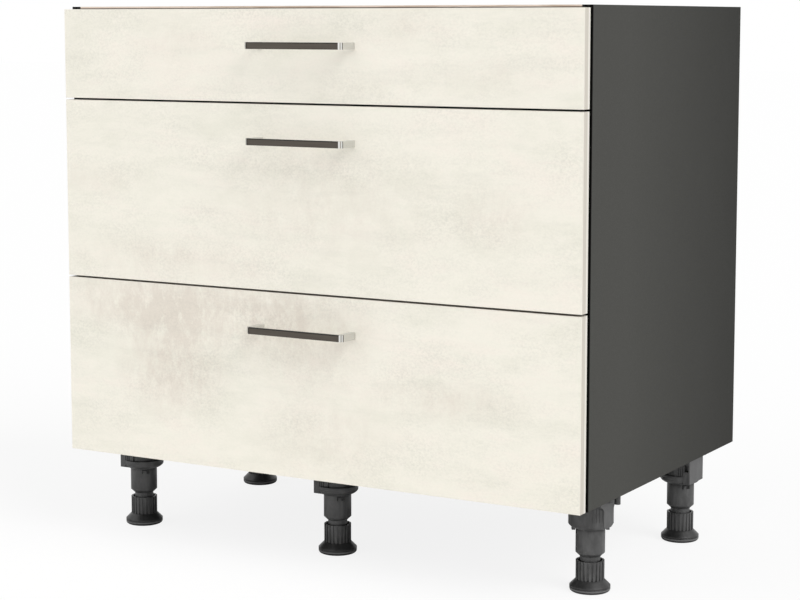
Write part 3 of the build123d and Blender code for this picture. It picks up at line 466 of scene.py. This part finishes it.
def draw_line(material, axis, start, end, colour, blur=0.3 * MILLIMETRE, outside=None):
    """Draw a line across a material, from start to end along one axis; outside keeps |X| below it free."""
    tree, shader, own = opened(material)
    place = along(tree, own, axis)
    after_start = rising(tree, place, start - blur, start + blur)
    before_end = falling(tree, place, end - blur, end + blur)
    share = product(tree, after_start, before_end)
    if outside is not None:
        aside = calculated(tree, "ABSOLUTE", along(tree, own, "X"))
        share = product(tree, share, rising(tree, aside, outside, outside + blur))
    paint_over(tree, shader, share, colour)


def paint_window_shade(material, posts, radius, recess, bottom, top, colour):
    """Paint shade on what lies deeper than a recess in round upright posts, between two heights."""
    tree, shader, own = opened(material)
    reach = 2.0 * radius
    near = spotted(tree, own, [((x, y, 0.0), (reach, reach, ENDLESS), 1.0) for x, y in posts])
    inside = rising(tree, near, 1.0 - (radius - recess / 2) / reach, 1.0 - (radius - recess) / reach)
    height = along(tree, own, "Z")
    above = rising(tree, height, bottom - recess, bottom)
    below = falling(tree, height, top, top + recess)
    # painted shade inside the windows
    paint_over(tree, shader, product(tree, product(tree, above, below), inside), colour)


# ---------------------------------------------------------------- materials
def concrete_decor(settings, drawer, shift):
    """Cream concrete decor: faint clouds, brown stains, level trowel marks and a fine mottle."""
    material, tree, shader, own = new_material(f"concrete_decor_{drawer}")
    sheet = stretched(tree, own, shift=shift)
    clouds = cloudy(tree, stretched(tree, sheet, z=2.6), scale=1.0 / settings.cloud_size, detail=9.0,
                    roughness=0.72, distortion=0.2)
    base = tones(tree, clouds, (0.34, settings.mossy), (0.50, settings.pale), (0.66, settings.rosy))
    stains = spotted(tree, own, [((x, 0.0, z), (half_width, ENDLESS, half_height), strength)
                                 for x, z, half_width, half_height, strength in STAINS[drawer]])
    ragged = cloudy(tree, stretched(tree, sheet, x=1.6, z=0.9), scale=22.0, detail=10.0, roughness=0.8,
                    distortion=0.1)
    base = mixed(tree, product(tree, stains, rising(tree, ragged, 0.36, 0.62)), base, settings.sandy)
    trowel = cloudy(tree, stretched(tree, sheet, z=7.0), scale=6.0, detail=8.0, roughness=0.68,
                    distortion=0.3)
    deep_mark, faint_mark = (0.95, 0.952, 0.95), (0.985, 0.987, 0.985)
    base = shaded(tree, base, tones(tree, trowel, (0.32, deep_mark), (0.46, faint_mark), (0.68, WHITE)))
    mottle = cloudy(tree, stretched(tree, sheet, z=1.3), scale=240.0, roughness=0.75)
    pit = (0.83, 0.833, 0.83)
    pitted = shaded(tree, base, tones(tree, mottle, (0.34, pit), (0.60, WHITE)))
    worn = cloudy(tree, stretched(tree, sheet, z=2.0, shift=(5.0, 0.0, 2.0)), scale=7.0, detail=6.0,
                  roughness=0.65)
    base = mixed(tree, spread(tree, worn, 0.15, 0.85, start=0.42, end=0.66), base, pitted)
    tree.links.new(base, shader.inputs["Base Color"])
    roughen(tree, shader, mottle, 0.50, 0.62)
    shader.inputs["Specular IOR Level"].default_value = 0.35
    grit = cloudy(tree, own, scale=620.0, detail=2.0)
    emboss(tree, shader, grit, 0.05 * MILLIMETRE, 0.5)
    return material


def front_edging(settings, front_y, rear_y):
    """Edging with the face's tone in front, then painted shade along its depth: a darker and a lighter
    part.
    """
    material, tree, shader, own = new_material("front_edging")
    depth = rising(tree, along(tree, own, "Y"), front_y, rear_y)
    streak = cloudy(tree, stretched(tree, own, y=30.0), scale=9.0, roughness=0.55)
    # painted shade along the edging's depth, darkest next to the face
    base = tones(tree, depth, (0.01, settings.edge_face), (0.04, settings.edge_shade_front),
                 (0.62, settings.edge_shade_front), (0.71, settings.edge_shade_rear))
    dark_streak = (0.96, 0.955, 0.95)
    shade = tones(tree, streak, (0.35, dark_streak), (0.62, WHITE))
    tree.links.new(shaded(tree, base, shade), shader.inputs["Base Color"])
    roughen(tree, shader, streak, 0.42, 0.52)
    return material


def melamine(name, tone, fleck, edge=None, banding=0.0, fade=0.0):
    """Melamine board: a fine pearl of flecks, with painted shade that makes it darker to the back by a
    share, and banded front edges.
    """
    material, tree, shader, own = new_material(name)
    pearl = cloudy(tree, own, scale=1150.0, detail=2.0, roughness=0.6)
    drift = cloudy(tree, own, scale=9.0)
    base = tones(tree, pearl, (0.40, tone), (0.66, fleck))
    base = shaded(tree, base, tones(tree, drift, (0.35, grey(0.96)), (0.65, WHITE)))
    depth = along(tree, own, "Y")
    front_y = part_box("side_panel_left")[0].y
    # painted shade: darker towards the back by a share, in place of the light falling off along the board
    base = mixed(tree, spread(tree, depth, 0.0, fade, front_y / 2, CAD_BOX[1].y), base, BLACK)
    if edge is not None:
        banding_end, soft_end = front_y + banding, 0.2 * MILLIMETRE
        base = mixed(tree, falling(tree, depth, banding_end, banding_end + soft_end), base, edge)
    tree.links.new(base, shader.inputs["Base Color"])
    roughen(tree, shader, drift, 0.48, 0.58)
    shader.inputs["Specular IOR Level"].default_value = 0.02
    emboss(tree, shader, pearl, 0.04 * MILLIMETRE, 0.6)
    return material


def light_wood(name, tone, grain_tone):
    """Light wood whose grain runs along X."""
    material, tree, shader, own = new_material(name)
    fibres = stretched(tree, own, x=1.2, y=26.0, z=26.0)
    grain = cloudy(tree, fibres, scale=9.0, detail=7.0, roughness=0.62, distortion=0.6)
    pores = cloudy(tree, stretched(tree, fibres, 2.0, 2.0, 2.0), scale=22.0, detail=3.0, roughness=0.7)
    base = tones(tree, grain, (0.34, grain_tone), (0.52, tone), (0.70, scaled(tone, 1.05)))
    dark_pore = (0.86, 0.84, 0.82)
    shade = tones(tree, pores, (0.30, dark_pore), (0.46, WHITE))
    tree.links.new(shaded(tree, base, shade), shader.inputs["Base Color"])
    roughen(tree, shader, grain, 0.50, 0.66)
    shader.inputs["Specular IOR Level"].default_value = 0.3
    emboss(tree, shader, pores, 0.05 * MILLIMETRE, 0.5)
    return material


def hard_board(settings):
    """Thin dark grey hardboard of the back, a little uneven."""
    material, tree, shader, own = new_material("back_board")
    drift = cloudy(tree, own, scale=6.0, detail=5.0, roughness=0.55)
    grit = cloudy(tree, own, scale=520.0, detail=3.0, roughness=0.6)
    base = tones(tree, drift, (0.32, scaled(settings.back, 0.94)), (0.64, settings.back))
    tree.links.new(base, shader.inputs["Base Color"])
    roughen(tree, shader, grit, 0.55, 0.68)
    emboss(tree, shader, grit, 0.04 * MILLIMETRE, 0.5)
    return material


def brushed_metal(name, tone):
    """Metal with fine brush marks along X."""
    material, tree, shader, own = new_material(name)
    marks = cloudy(tree, stretched(tree, own, 3.0, 420.0, 420.0), scale=4.0, detail=5.0, roughness=0.7)
    drift = cloudy(tree, own, scale=30.0, detail=3.0)
    base = tones(tree, marks, (0.34, scaled(tone, 0.88)), (0.66, scaled(tone, 1.12)))
    tree.links.new(base, shader.inputs["Base Color"])
    shader.inputs["Metallic"].default_value = 1.0
    roughen(tree, shader, drift, 0.34, 0.46)
    emboss(tree, shader, marks, 0.03 * MILLIMETRE, 0.6)
    return material


def dark_inlay(settings, half_length, half_height):
    """Dark brown brushed strip, satin, with a dark shadow line along its top and its left end."""
    material, tree, shader, own = new_material("dark_inlay")
    marks = cloudy(tree, stretched(tree, own, 4.0, 500.0, 500.0), scale=3.0, detail=5.0, roughness=0.7)
    base = tones(tree, marks, (0.34, settings.inlay), (0.68, settings.inlay_light))
    # painted shadow along the strip's top and its left end
    width = settings.line_width
    top = rising(tree, along(tree, own, "Z"), half_height - 1.5 * width, half_height - width)
    left = falling(tree, along(tree, own, "X"), width - half_length, 2.0 * width - half_length)
    for share in (top, left):
        base = mixed(tree, share, base, settings.inlay_shadow)
    tree.links.new(base, shader.inputs["Base Color"])
    shader.inputs["Metallic"].default_value = 0.35
    shader.inputs["Specular IOR Level"].default_value = 0.35
    roughen(tree, shader, marks, 0.40, 0.52)
    emboss(tree, shader, marks, 0.03 * MILLIMETRE, 0.5)
    return material


def zinc_plate(name, tone, dull=0.38):
    """Plated steel with the faint flowers and blur of zinc."""
    material, tree, shader, own = new_material(name)
    flowers = cloudy(tree, own, scale=160.0, detail=5.0, roughness=0.6, distortion=1.2)
    base = tones(tree, flowers, (0.34, scaled(tone, 0.84)), (0.64, tone))
    tree.links.new(base, shader.inputs["Base Color"])
    shader.inputs["Metallic"].default_value = 1.0
    roughen(tree, shader, flowers, dull, dull + 0.14)
    emboss(tree, shader, flowers, 0.03 * MILLIMETRE, 0.4)
    return material


def coated_steel(name, tone):
    """Powder-coated steel with a fine orange-peel texture."""
    material, tree, shader, own = new_material(name)
    peel = cloudy(tree, own, scale=700.0, detail=2.0)
    drift = cloudy(tree, own, scale=12.0, detail=3.0)
    base = tones(tree, drift, (0.35, scaled(tone, 0.94)), (0.65, tone))
    tree.links.new(base, shader.inputs["Base Color"])
    shader.inputs["Metallic"].default_value = 0.25
    roughen(tree, shader, drift, 0.40, 0.48)
    emboss(tree, shader, peel, 0.04 * MILLIMETRE, 0.5)
    return material


def moulded_plastic(name, tone, worn, crevice_shade_reach):
    """Dark grey moulded plastic, satin, with scuffs, rubbed spots and painted shade in its crevices."""
    material, tree, shader, own = new_material(name)
    scuffs = cloudy(tree, stretched(tree, own, z=0.5), scale=55.0, detail=6.0, roughness=0.65,
                    distortion=0.5)
    base = tones(tree, scuffs, (0.42, tone), (0.74, worn))
    # painted shade: the crevices found by an occlusion test are painted darker, where shade falls
    crevice = tree.nodes.new("ShaderNodeAmbientOcclusion")
    crevice.samples = 8
    crevice.inputs["Distance"].default_value = crevice_shade_reach
    unshaded = rising(tree, crevice.outputs["AO"], 0.35, 0.85)
    tree.links.new(mixed(tree, unshaded, scaled(tone, 0.12), base), shader.inputs["Base Color"])
    shader.inputs["Specular IOR Level"].default_value = 0.4
    roughen(tree, shader, scuffs, 0.32, 0.46)
    grit = cloudy(tree, own, scale=1300.0, detail=2.0)
    emboss(tree, shader, grit, 0.03 * MILLIMETRE, 0.5)
    return material


# ---------------------------------------------------------------- dressing
def give(node_name, material):
    """Give a CAD node its material in every slot."""
    mesh = NODES[node_name].data
    mesh.materials.clear()
    mesh.materials.append(material)


def soften(node_name, width):
    """Join a CAD node's split facets and round its edges a little."""
    node = NODES[node_name]
    weld = node.modifiers.new("joined facets", "WELD")
    weld.merge_threshold = JOIN_DISTANCE
    bevel = node.modifiers.new("rounded edges", "BEVEL")
    bevel.width = width
    bevel.segments = 2
    bevel.limit_method = "ANGLE"
    bevel.angle_limit = SHARP_EDGE
    bevel.harden_normals = True


def dress(node_names, material, width):
    """Give several CAD nodes one material and rounded edges."""
    for name in node_names:
        give(name, material)
        soften(name, width)


def per_drawer(prefix):
    """The nodes of one kind, one for each drawer that has it."""
    return [f"{prefix}_{drawer}" for drawer in DRAWERS if f"{prefix}_{drawer}" in NODES]


# ---------------------------------------------------------------- pieces
def separate_boxes(node_name):
    """The box of each separate body in a CAD node, as (lowest corner, highest corner)."""
    work = bmesh.new()
    work.from_mesh(NODES[node_name].data)
    bmesh.ops.remove_doubles(work, verts=work.verts, dist=JOIN_DISTANCE)
    waiting = set(work.verts)
    boxes = []
    while waiting:
        reached = [waiting.pop()]
        for vertex in reached:
            beside = {edge.other_vert(vertex) for edge in vertex.link_edges} & waiting
            waiting -= beside
            reached.extend(beside)
        low, high = (Vector(pick(vertex.co[axis] for vertex in reached) for axis in range(3))
                     for pick in (min, max))
        boxes.append((low, high))
    work.free()
    return sorted(boxes, key=lambda box: tuple(box[0]))


def cross_directions(half_arm, reach):
    """The directions of the vertices round a cross recess: six in each quarter, from arm to arm."""
    arm = math.atan2(half_arm, reach)
    corner = math.pi / 4
    quarter = (-arm, 0.0, arm, (arm + corner) / 2, corner, (3 * corner - arm) / 2)
    return [turn + step * math.pi / 2 for step in range(4) for turn in quarter]


def cross_outline(turn, half_arm, reach):
    """How far the edge of a cross recess is from its middle in one direction."""
    along_arm, aside = sorted((abs(math.cos(turn)), abs(math.sin(turn))), reverse=True)
    return 1.0 / max(along_arm / reach, aside / half_arm)


def screw_rings(look, radius, length):
    """A cross-headed screw's rings from its recess to its point, as (radius or share, height, crossed)."""
    head, height = look.head_radius, look.head_height
    pitch = look.thread_pitch
    rings = [(RECESS_FLOOR, height - look.recess_depth, True), (1.0, height, True)]
    rings += [(wide * head, high * height, False) for wide, high in HEAD_PROFILE]
    rings.append((radius, 0.0, False))
    for turn in range(int((length - BARE_END * radius) / pitch)):
        crest = -(turn + THREAD_START) * pitch
        rings.append((radius, crest, False))
        rings.append((THREAD_ROOT * radius, crest - pitch / 2, False))
    rings.append((radius, -(length - POINT_LENGTH * radius), False))
    rings.append((POINT_BLUNT * radius, -length, False))
    return rings


def add_screw(work, look, seat, outward, radius, length):
    """One screw whose head stands on seat and looks outward."""
    turned = outward.to_track_quat("Z", "Y").to_matrix()
    half_arm, reach = look.recess_width / 2, RECESS_REACH * look.head_radius
    directions = cross_directions(half_arm, reach)
    rings = screw_rings(look, radius, length)

    def put(distance, turn, height):
        place = Vector((distance * math.cos(turn), distance * math.sin(turn), height))
        return work.verts.new(seat + turned @ place)

    floor = put(0.0, 0.0, rings[0][1])
    before = None
    for size, height, crossed in rings:
        shares = [size * cross_outline(turn, half_arm, reach) if crossed else size for turn in directions]
        now = [put(share, turn, height) for share, turn in zip(shares, directions)]
        for index in range(len(now)):
            after = (index + 1) % len(now)
            if before is None:
                work.faces.new((floor, now[index], now[after]))
            else:
                work.faces.new((before[index], now[index], now[after], before[after]))
        before = now
    work.faces.new(before)


def finish_piece(name, work, body, node_name, material, place=(0.0, 0.0, 0.0)):
    """Turn finished mesh code into a piece that rides on a body in the place of a CAD node."""
    bmesh.ops.recalc_face_normals(work, faces=work.faces)
    mesh = bpy.data.meshes.new(name)
    work.to_mesh(mesh)
    work.free()
    mesh.materials.append(material)
    piece = bpy.data.objects.new(name, mesh)
    piece.location = place
    bpy.context.scene.collection.objects.link(piece)
    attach(piece, body)
    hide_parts(node_name)


def make_screws(look, node_name, body, axis, outward_sign, material):
    """Cross-headed screws where a CAD node has its plain ones; outward_sign None looks to the middle."""
    work = bmesh.new()
    way = "XYZ".index(axis)
    for low, high in separate_boxes(node_name):
        seat = (low + high) / 2
        sign = outward_sign or (-1.0 if seat[way] > 0 else 1.0)
        outward = Vector([sign if index == way else 0.0 for index in range(3)])
        top = high[way] if sign > 0 else low[way]
        seat[way] = top - sign * look.head_height
        add_screw(work, look, seat, outward, look.shank_radius, high[way] - low[way] - look.head_height)
    finish_piece(node_name + "_crossed", work, body, node_name, material)


def make_inlay(look, drawer, material):
    """The dark strip of a handle, crowned a little, with a fine step along its top and its bottom."""
    node_name = f"handle_inlay_{drawer}"
    low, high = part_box(node_name)
    half = (high - low) / 2
    step, crown = look.step, look.crown
    outline = [(half.y, -half.z), (half.y, half.z), (step - half.y, half.z), (step - half.y, half.z - step),
               (crown - half.y, half.z - step), (-half.y, half.z / 2), (-half.y, -half.z / 2),
               (crown - half.y, step - half.z), (step - half.y, step - half.z), (step - half.y, -half.z)]
    work = bmesh.new()
    ends = [[work.verts.new((x, y, z)) for y, z in outline] for x in (-half.x, half.x)]
    for end in ends:
        work.faces.new(end)
    for index in range(len(outline)):
        after = (index + 1) % len(outline)
        work.faces.new((ends[0][index], ends[0][after], ends[1][after], ends[1][index]))
    finish_piece(f"handle_strip_{drawer}", work, f"drawer_{drawer}", node_name, material,
                 (low + high) / 2)


# ---------------------------------------------------------------- operators
class CABINET_OT_carcass(bpy.types.Operator):
    """Finish the side boards, the bottom, the back and the two top rails"""

    bl_idname = "cabinet.carcass"
    bl_label = "Carcass"

    def execute(self, context):
        look = context.scene.cabinet_carcass
        dark = melamine("anthracite_melamine", look.board, look.board_fleck, look.board_edge, look.banding,
                        look.fade)
        wood = light_wood("rail_wood", look.rail, look.rail_grain)
        # painted shadow: the front rail's wood has the gap's shadow painted along it, just over the top
        # front
        gap_shadowed = light_wood("rail_wood_gap_shadow", look.rail, look.rail_grain)
        over_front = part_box(f"edge_band_{DRAWERS[-1]}")[1].z
        draw_line(gap_shadowed, "Z", over_front, over_front + look.gap_shadow_height, look.rail_gap_shadow)
        dress(["side_panel_left", "side_panel_right", "bottom_panel"], dark, look.edge_round)
        dress(["top_rail_front"], gap_shadowed, look.edge_round)
        dress(["top_rail_rear"], wood, look.edge_round)
        dress(["back_panel"], hard_board(look), look.edge_round)
        return {"FINISHED"}


class CABINET_OT_fittings(bpy.types.Operator):
    """Finish the cam housings, their bolts and the dowels"""

    bl_idname = "cabinet.fittings"
    bl_label = "Fittings"

    def execute(self, context):
        look = context.scene.cabinet_fittings
        zinc = zinc_plate("zinc", look.zinc)
        beech = light_wood("dowel_beech", look.dowel, scaled(look.dowel, 0.8))
        dress(["cam_fittings"], zinc, look.edge_round)
        dress(["wood_dowels"], beech, look.edge_round)
        return {"FINISHED"}


class CABINET_OT_screws(bpy.types.Operator):
    """Make the cross-headed screws of the runners, the legs and the handles"""

    bl_idname = "cabinet.screws"
    bl_label = "Screws"

    def execute(self, context):
        look = context.scene.cabinet_fittings
        zinc = zinc_plate("screw_zinc", look.zinc)
        make_screws(look, "rail_screws", "root", "X", None, zinc)
        make_screws(look, "leg_screws", "root", "Z", -1.0, zinc)
        for drawer in DRAWERS:
            make_screws(look, f"handle_screws_{drawer}", f"drawer_{drawer}", "Y", 1.0, zinc)
        return {"FINISHED"}


class CABINET_OT_runners(bpy.types.Operator):
    """Finish the three members of each telescopic runner"""

    bl_idname = "cabinet.runners"
    bl_label = "Runners"

    def execute(self, context):
        look = context.scene.cabinet_drawers
        steel = zinc_plate("runner_steel", look.runner, dull=0.32)
        names = per_drawer("cabinet_rails") + per_drawer("middle_rails") + per_drawer("drawer_rails")
        dress(names, steel, look.edge_round)
        return {"FINISHED"}


class CABINET_OT_fronts(bpy.types.Operator):
    """Finish the decorated boards of the drawer fronts"""

    bl_idname = "cabinet.fronts"
    bl_label = "Drawer fronts"

    def execute(self, context):
        look = context.scene.cabinet_fronts
        for number, drawer in enumerate(DRAWERS):
            shift = [number * step for step in SHEET_STEP]
            give(f"front_panel_{drawer}", concrete_decor(look, drawer, shift))
        return {"FINISHED"}


class CABINET_OT_edging(bpy.types.Operator):
    """Finish the banding round the drawer fronts"""

    bl_idname = "cabinet.edging"
    bl_label = "Front edging"

    def execute(self, context):
        look = context.scene.cabinet_fronts
        low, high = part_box(per_drawer("edge_band")[0])
        dress(per_drawer("edge_band"), front_edging(look, low.y, high.y), look.edge_round)
        return {"FINISHED"}


class CABINET_OT_handles(bpy.types.Operator):
    """Finish the metal bows of the handles"""

    bl_idname = "cabinet.handles"
    bl_label = "Handle bows"

    def execute(self, context):
        look = context.scene.cabinet_handles
        bow = brushed_metal("brushed_bow", look.metal)
        face_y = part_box(per_drawer("handle_bar")[0])[0].y
        inlay_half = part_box(per_drawer("handle_inlay")[0])[1].x
        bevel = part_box(per_drawer("handle_bar")[0])[1].x - inlay_half
        half_width = look.seam_width / 2
        for middle, colour in ((face_y + bevel / 2, look.bevel_line), (face_y + bevel, look.seam)):
            draw_line(bow, "Y", middle - half_width, middle + half_width, colour, outside=inlay_half)
        dress(per_drawer("handle_bar"), bow, look.edge_round)
        return {"FINISHED"}


class CABINET_OT_inlays(bpy.types.Operator):
    """Make the dark strips let into the handles"""

    bl_idname = "cabinet.inlays"
    bl_label = "Handle inlays"

    def execute(self, context):
        look = context.scene.cabinet_handles
        low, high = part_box(per_drawer("handle_inlay")[0])
        strip = dark_inlay(look, (high.x - low.x) / 2, (high.z - low.z) / 2)
        for drawer in DRAWERS:
            make_inlay(look, drawer, strip)
        return {"FINISHED"}


class CABINET_OT_drawer_boxes(bpy.types.Operator):
    """Finish the steel sides, brackets, rods and boards of the drawer boxes"""

    bl_idname = "cabinet.drawer_boxes"
    bl_label = "Drawer boxes"

    def execute(self, context):
        look = context.scene.cabinet_drawers
        steel = coated_steel("coated_side", look.side_steel)
        bracket = coated_steel("coated_bracket", look.bracket)
        board = melamine("drawer_board", look.board, scaled(look.board, 1.06))
        dress(per_drawer("drawer_sides") + per_drawer("gallery_rails"), steel, look.edge_round)
        dress(per_drawer("front_brackets"), bracket, look.edge_round)
        dress(per_drawer("drawer_bottom") + per_drawer("drawer_back"), board, look.edge_round)
        return {"FINISHED"}


class CABINET_OT_legs(bpy.types.Operator):
    """Finish the plates, sockets, barrels and feet of the legs"""

    bl_idname = "cabinet.legs"
    bl_label = "Legs"

    def execute(self, context):
        look = context.scene.cabinet_legs
        barrel = moulded_plastic("moulded_plastic", look.plastic, look.plastic_worn, look.crevice_shade_reach)
        plate = moulded_plastic("plate_plastic", look.plastic, look.plastic_worn, look.plate_crevice_shade)
        socket = moulded_plastic("socket_plastic", look.plastic, look.plastic_worn, look.crevice_shade_reach)
        # painted shade: the feet's plastic is a darker copy of the legs' plastic
        foot = moulded_plastic("foot_plastic", look.foot, look.foot_worn, look.crevice_shade_reach)
        # painted highlight along the feet's rims
        draw_line(foot, "Z", look.highlight_bottom, look.highlight_top, look.foot_highlight, look.highlight_blur)
        barrels = [f"leg_adjuster_{leg}" for leg in LEGS]
        boxes = [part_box(name) for name in barrels]
        posts = [((low.x + high.x) / 2, (low.y + high.y) / 2) for low, high in boxes]
        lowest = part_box("leg_sockets")[0]
        radius = min(x for x, y in posts) - lowest.x
        paint_window_shade(socket, posts, radius, look.window_recess, lowest.z + look.window_low,
                       lowest.z + look.window_high, look.window)
        dress(barrels, barrel, look.edge_round)
        dress(["leg_plates"], plate, look.edge_round)
        dress(["leg_sockets"], socket, look.edge_round)
        dress([f"leg_foot_{leg}" for leg in LEGS], foot, look.edge_round)
        return {"FINISHED"}


class CABINET_OT_stage(bpy.types.Operator):
    """Put up the floor, the white room, the lamps and the camera"""

    bl_idname = "cabinet.stage"
    bl_label = "Stage"

    def execute(self, context):
        look = context.scene.cabinet_stage
        lay_floor(look)
        light_room(look)
        add_sun("key", look.key_strength, look.key_from, look.key_angle)
        add_sun("fill", look.fill_strength, look.fill_from, look.fill_angle)
        set_camera(look)
        return {"FINISHED"}


# ---------------------------------------------------------------- stage
def seen_as(tree, share, real, shown, output):
    """Let one share of the rays meet what is shown, and the rest what is real."""
    both = tree.nodes.new("ShaderNodeMixShader")
    tree.links.new(share, both.inputs["Fac"])
    tree.links.new(real, both.inputs[1])
    tree.links.new(shown, both.inputs[2])
    tree.links.new(both.outputs["Shader"], output.inputs["Surface"])


def lay_floor(look):
    """A plain pale floor that keeps the object's shadow."""
    corners = [(-1, -1), (1, -1), (1, 1), (-1, 1)]
    mesh = bpy.data.meshes.new("floor")
    places = [(x * look.floor_half, y * look.floor_half, 0.0) for x, y in corners]
    mesh.from_pydata(places, [], [(0, 1, 2, 3)])
    floor = bpy.data.objects.new("floor", mesh)
    bpy.context.scene.collection.objects.link(floor)
    material = bpy.data.materials.new("pale_floor")
    material.use_nodes = True
    tree = material.node_tree
    tree.nodes.clear()
    output = tree.nodes.new("ShaderNodeOutputMaterial")
    matt = tree.nodes.new("ShaderNodeBsdfDiffuse")
    connect(tree, grey(look.floor_tone), matt.inputs["Color"])
    glow = tree.nodes.new("ShaderNodeEmission")
    path = tree.nodes.new("ShaderNodeLightPath")
    share = calculated(tree, "MULTIPLY", path.outputs["Is Camera Ray"], look.floor_glow)
    seen_as(tree, share, matt.outputs["BSDF"], glow.outputs["Emission"], output)
    mesh.materials.append(material)


def light_room(look):
    """A white room: pure white to the camera, gloss and glass, and a softer light for the rest."""
    world = bpy.data.worlds.new("white_room")
    bpy.context.scene.world = world
    world.use_nodes = True
    tree = world.node_tree
    tree.nodes.clear()
    output = tree.nodes.new("ShaderNodeOutputWorld")
    lit = tree.nodes.new("ShaderNodeBackground")
    lit.inputs["Strength"].default_value = look.sky_strength
    shown = tree.nodes.new("ShaderNodeBackground")
    for room in (lit, shown):
        connect(tree, WHITE, room.inputs["Color"])
    path = tree.nodes.new("ShaderNodeLightPath")
    looking = calculated(tree, "MAXIMUM", path.outputs["Is Camera Ray"], path.outputs["Is Glossy Ray"])
    share = calculated(tree, "MAXIMUM", looking, path.outputs["Is Transmission Ray"])
    seen_as(tree, share, lit.outputs["Background"], shown.outputs["Background"], output)


def add_sun(name, strength, towards, angle):
    """A soft lamp that shines from the given direction onto the object."""
    lamp = bpy.data.lights.new(name, "SUN")
    lamp.energy = strength
    lamp.angle = angle
    holder = bpy.data.objects.new(name, lamp)
    holder.rotation_mode = "QUATERNION"
    holder.rotation_quaternion = Vector(towards).to_track_quat("Z", "Y")
    bpy.context.scene.collection.objects.link(holder)


def set_camera(look):
    """The photograph's viewpoint."""
    data = bpy.data.cameras.new("view")
    data.lens = look.focal_length
    data.sensor_width = SENSOR_WIDTH
    data.shift_y = look.shift
    camera = bpy.data.objects.new("view", data)
    camera.location = look.camera_place
    camera.rotation_euler = (math.pi / 2 - look.camera_tilt, 0.0, look.camera_turn)
    bpy.context.scene.collection.objects.link(camera)
    bpy.context.scene.camera = camera
    bpy.context.scene.view_settings.view_transform = "Standard"


# ---------------------------------------------------------------- add-on
SETTINGS = {
    "cabinet_carcass": CarcassSettings,
    "cabinet_fronts": FrontSettings,
    "cabinet_handles": HandleSettings,
    "cabinet_drawers": DrawerSettings,
    "cabinet_fittings": FittingSettings,
    "cabinet_legs": LegSettings,
    "cabinet_stage": StageSettings,
}
STEPS = (
    CABINET_OT_carcass,
    CABINET_OT_fittings,
    CABINET_OT_screws,
    CABINET_OT_runners,
    CABINET_OT_fronts,
    CABINET_OT_edging,
    CABINET_OT_handles,
    CABINET_OT_inlays,
    CABINET_OT_drawer_boxes,
    CABINET_OT_legs,
    CABINET_OT_stage,
)


class CABINET_PT_build(bpy.types.Panel):
    """Lists the steps that dress the cabinet"""

    bl_label = "Base cabinet"
    bl_space_type = "VIEW_3D"
    bl_region_type = "UI"
    bl_category = "Cabinet"

    def draw(self, context):
        for step in STEPS:
            self.layout.operator(step.bl_idname)
        for name, group in SETTINGS.items():
            box = self.layout.box()
            box.label(text=group.__doc__)
            for setting in group.__annotations__:
                box.prop(getattr(context.scene, name), setting)


def register():
    """Make the settings, the steps and the panel known to Blender."""
    for group in SETTINGS.values():
        bpy.utils.register_class(group)
    for step in STEPS:
        bpy.utils.register_class(step)
    bpy.utils.register_class(CABINET_PT_build)
    for name, group in SETTINGS.items():
        setattr(bpy.types.Scene, name, PointerProperty(type=group))


def unregister():
    """Take back what register did."""
    for name in SETTINGS:
        delattr(bpy.types.Scene, name)
    bpy.utils.unregister_class(CABINET_PT_build)
    for step in reversed(STEPS):
        bpy.utils.unregister_class(step)
    for group in reversed(SETTINGS.values()):
        bpy.utils.unregister_class(group)


def main():
    """Dress the whole cabinet and put up the stage."""
    register()
    for step in STEPS:
        group, name = step.bl_idname.split(".")
        getattr(getattr(bpy.ops, group), name)()


if __name__ == "__main__":
    main()
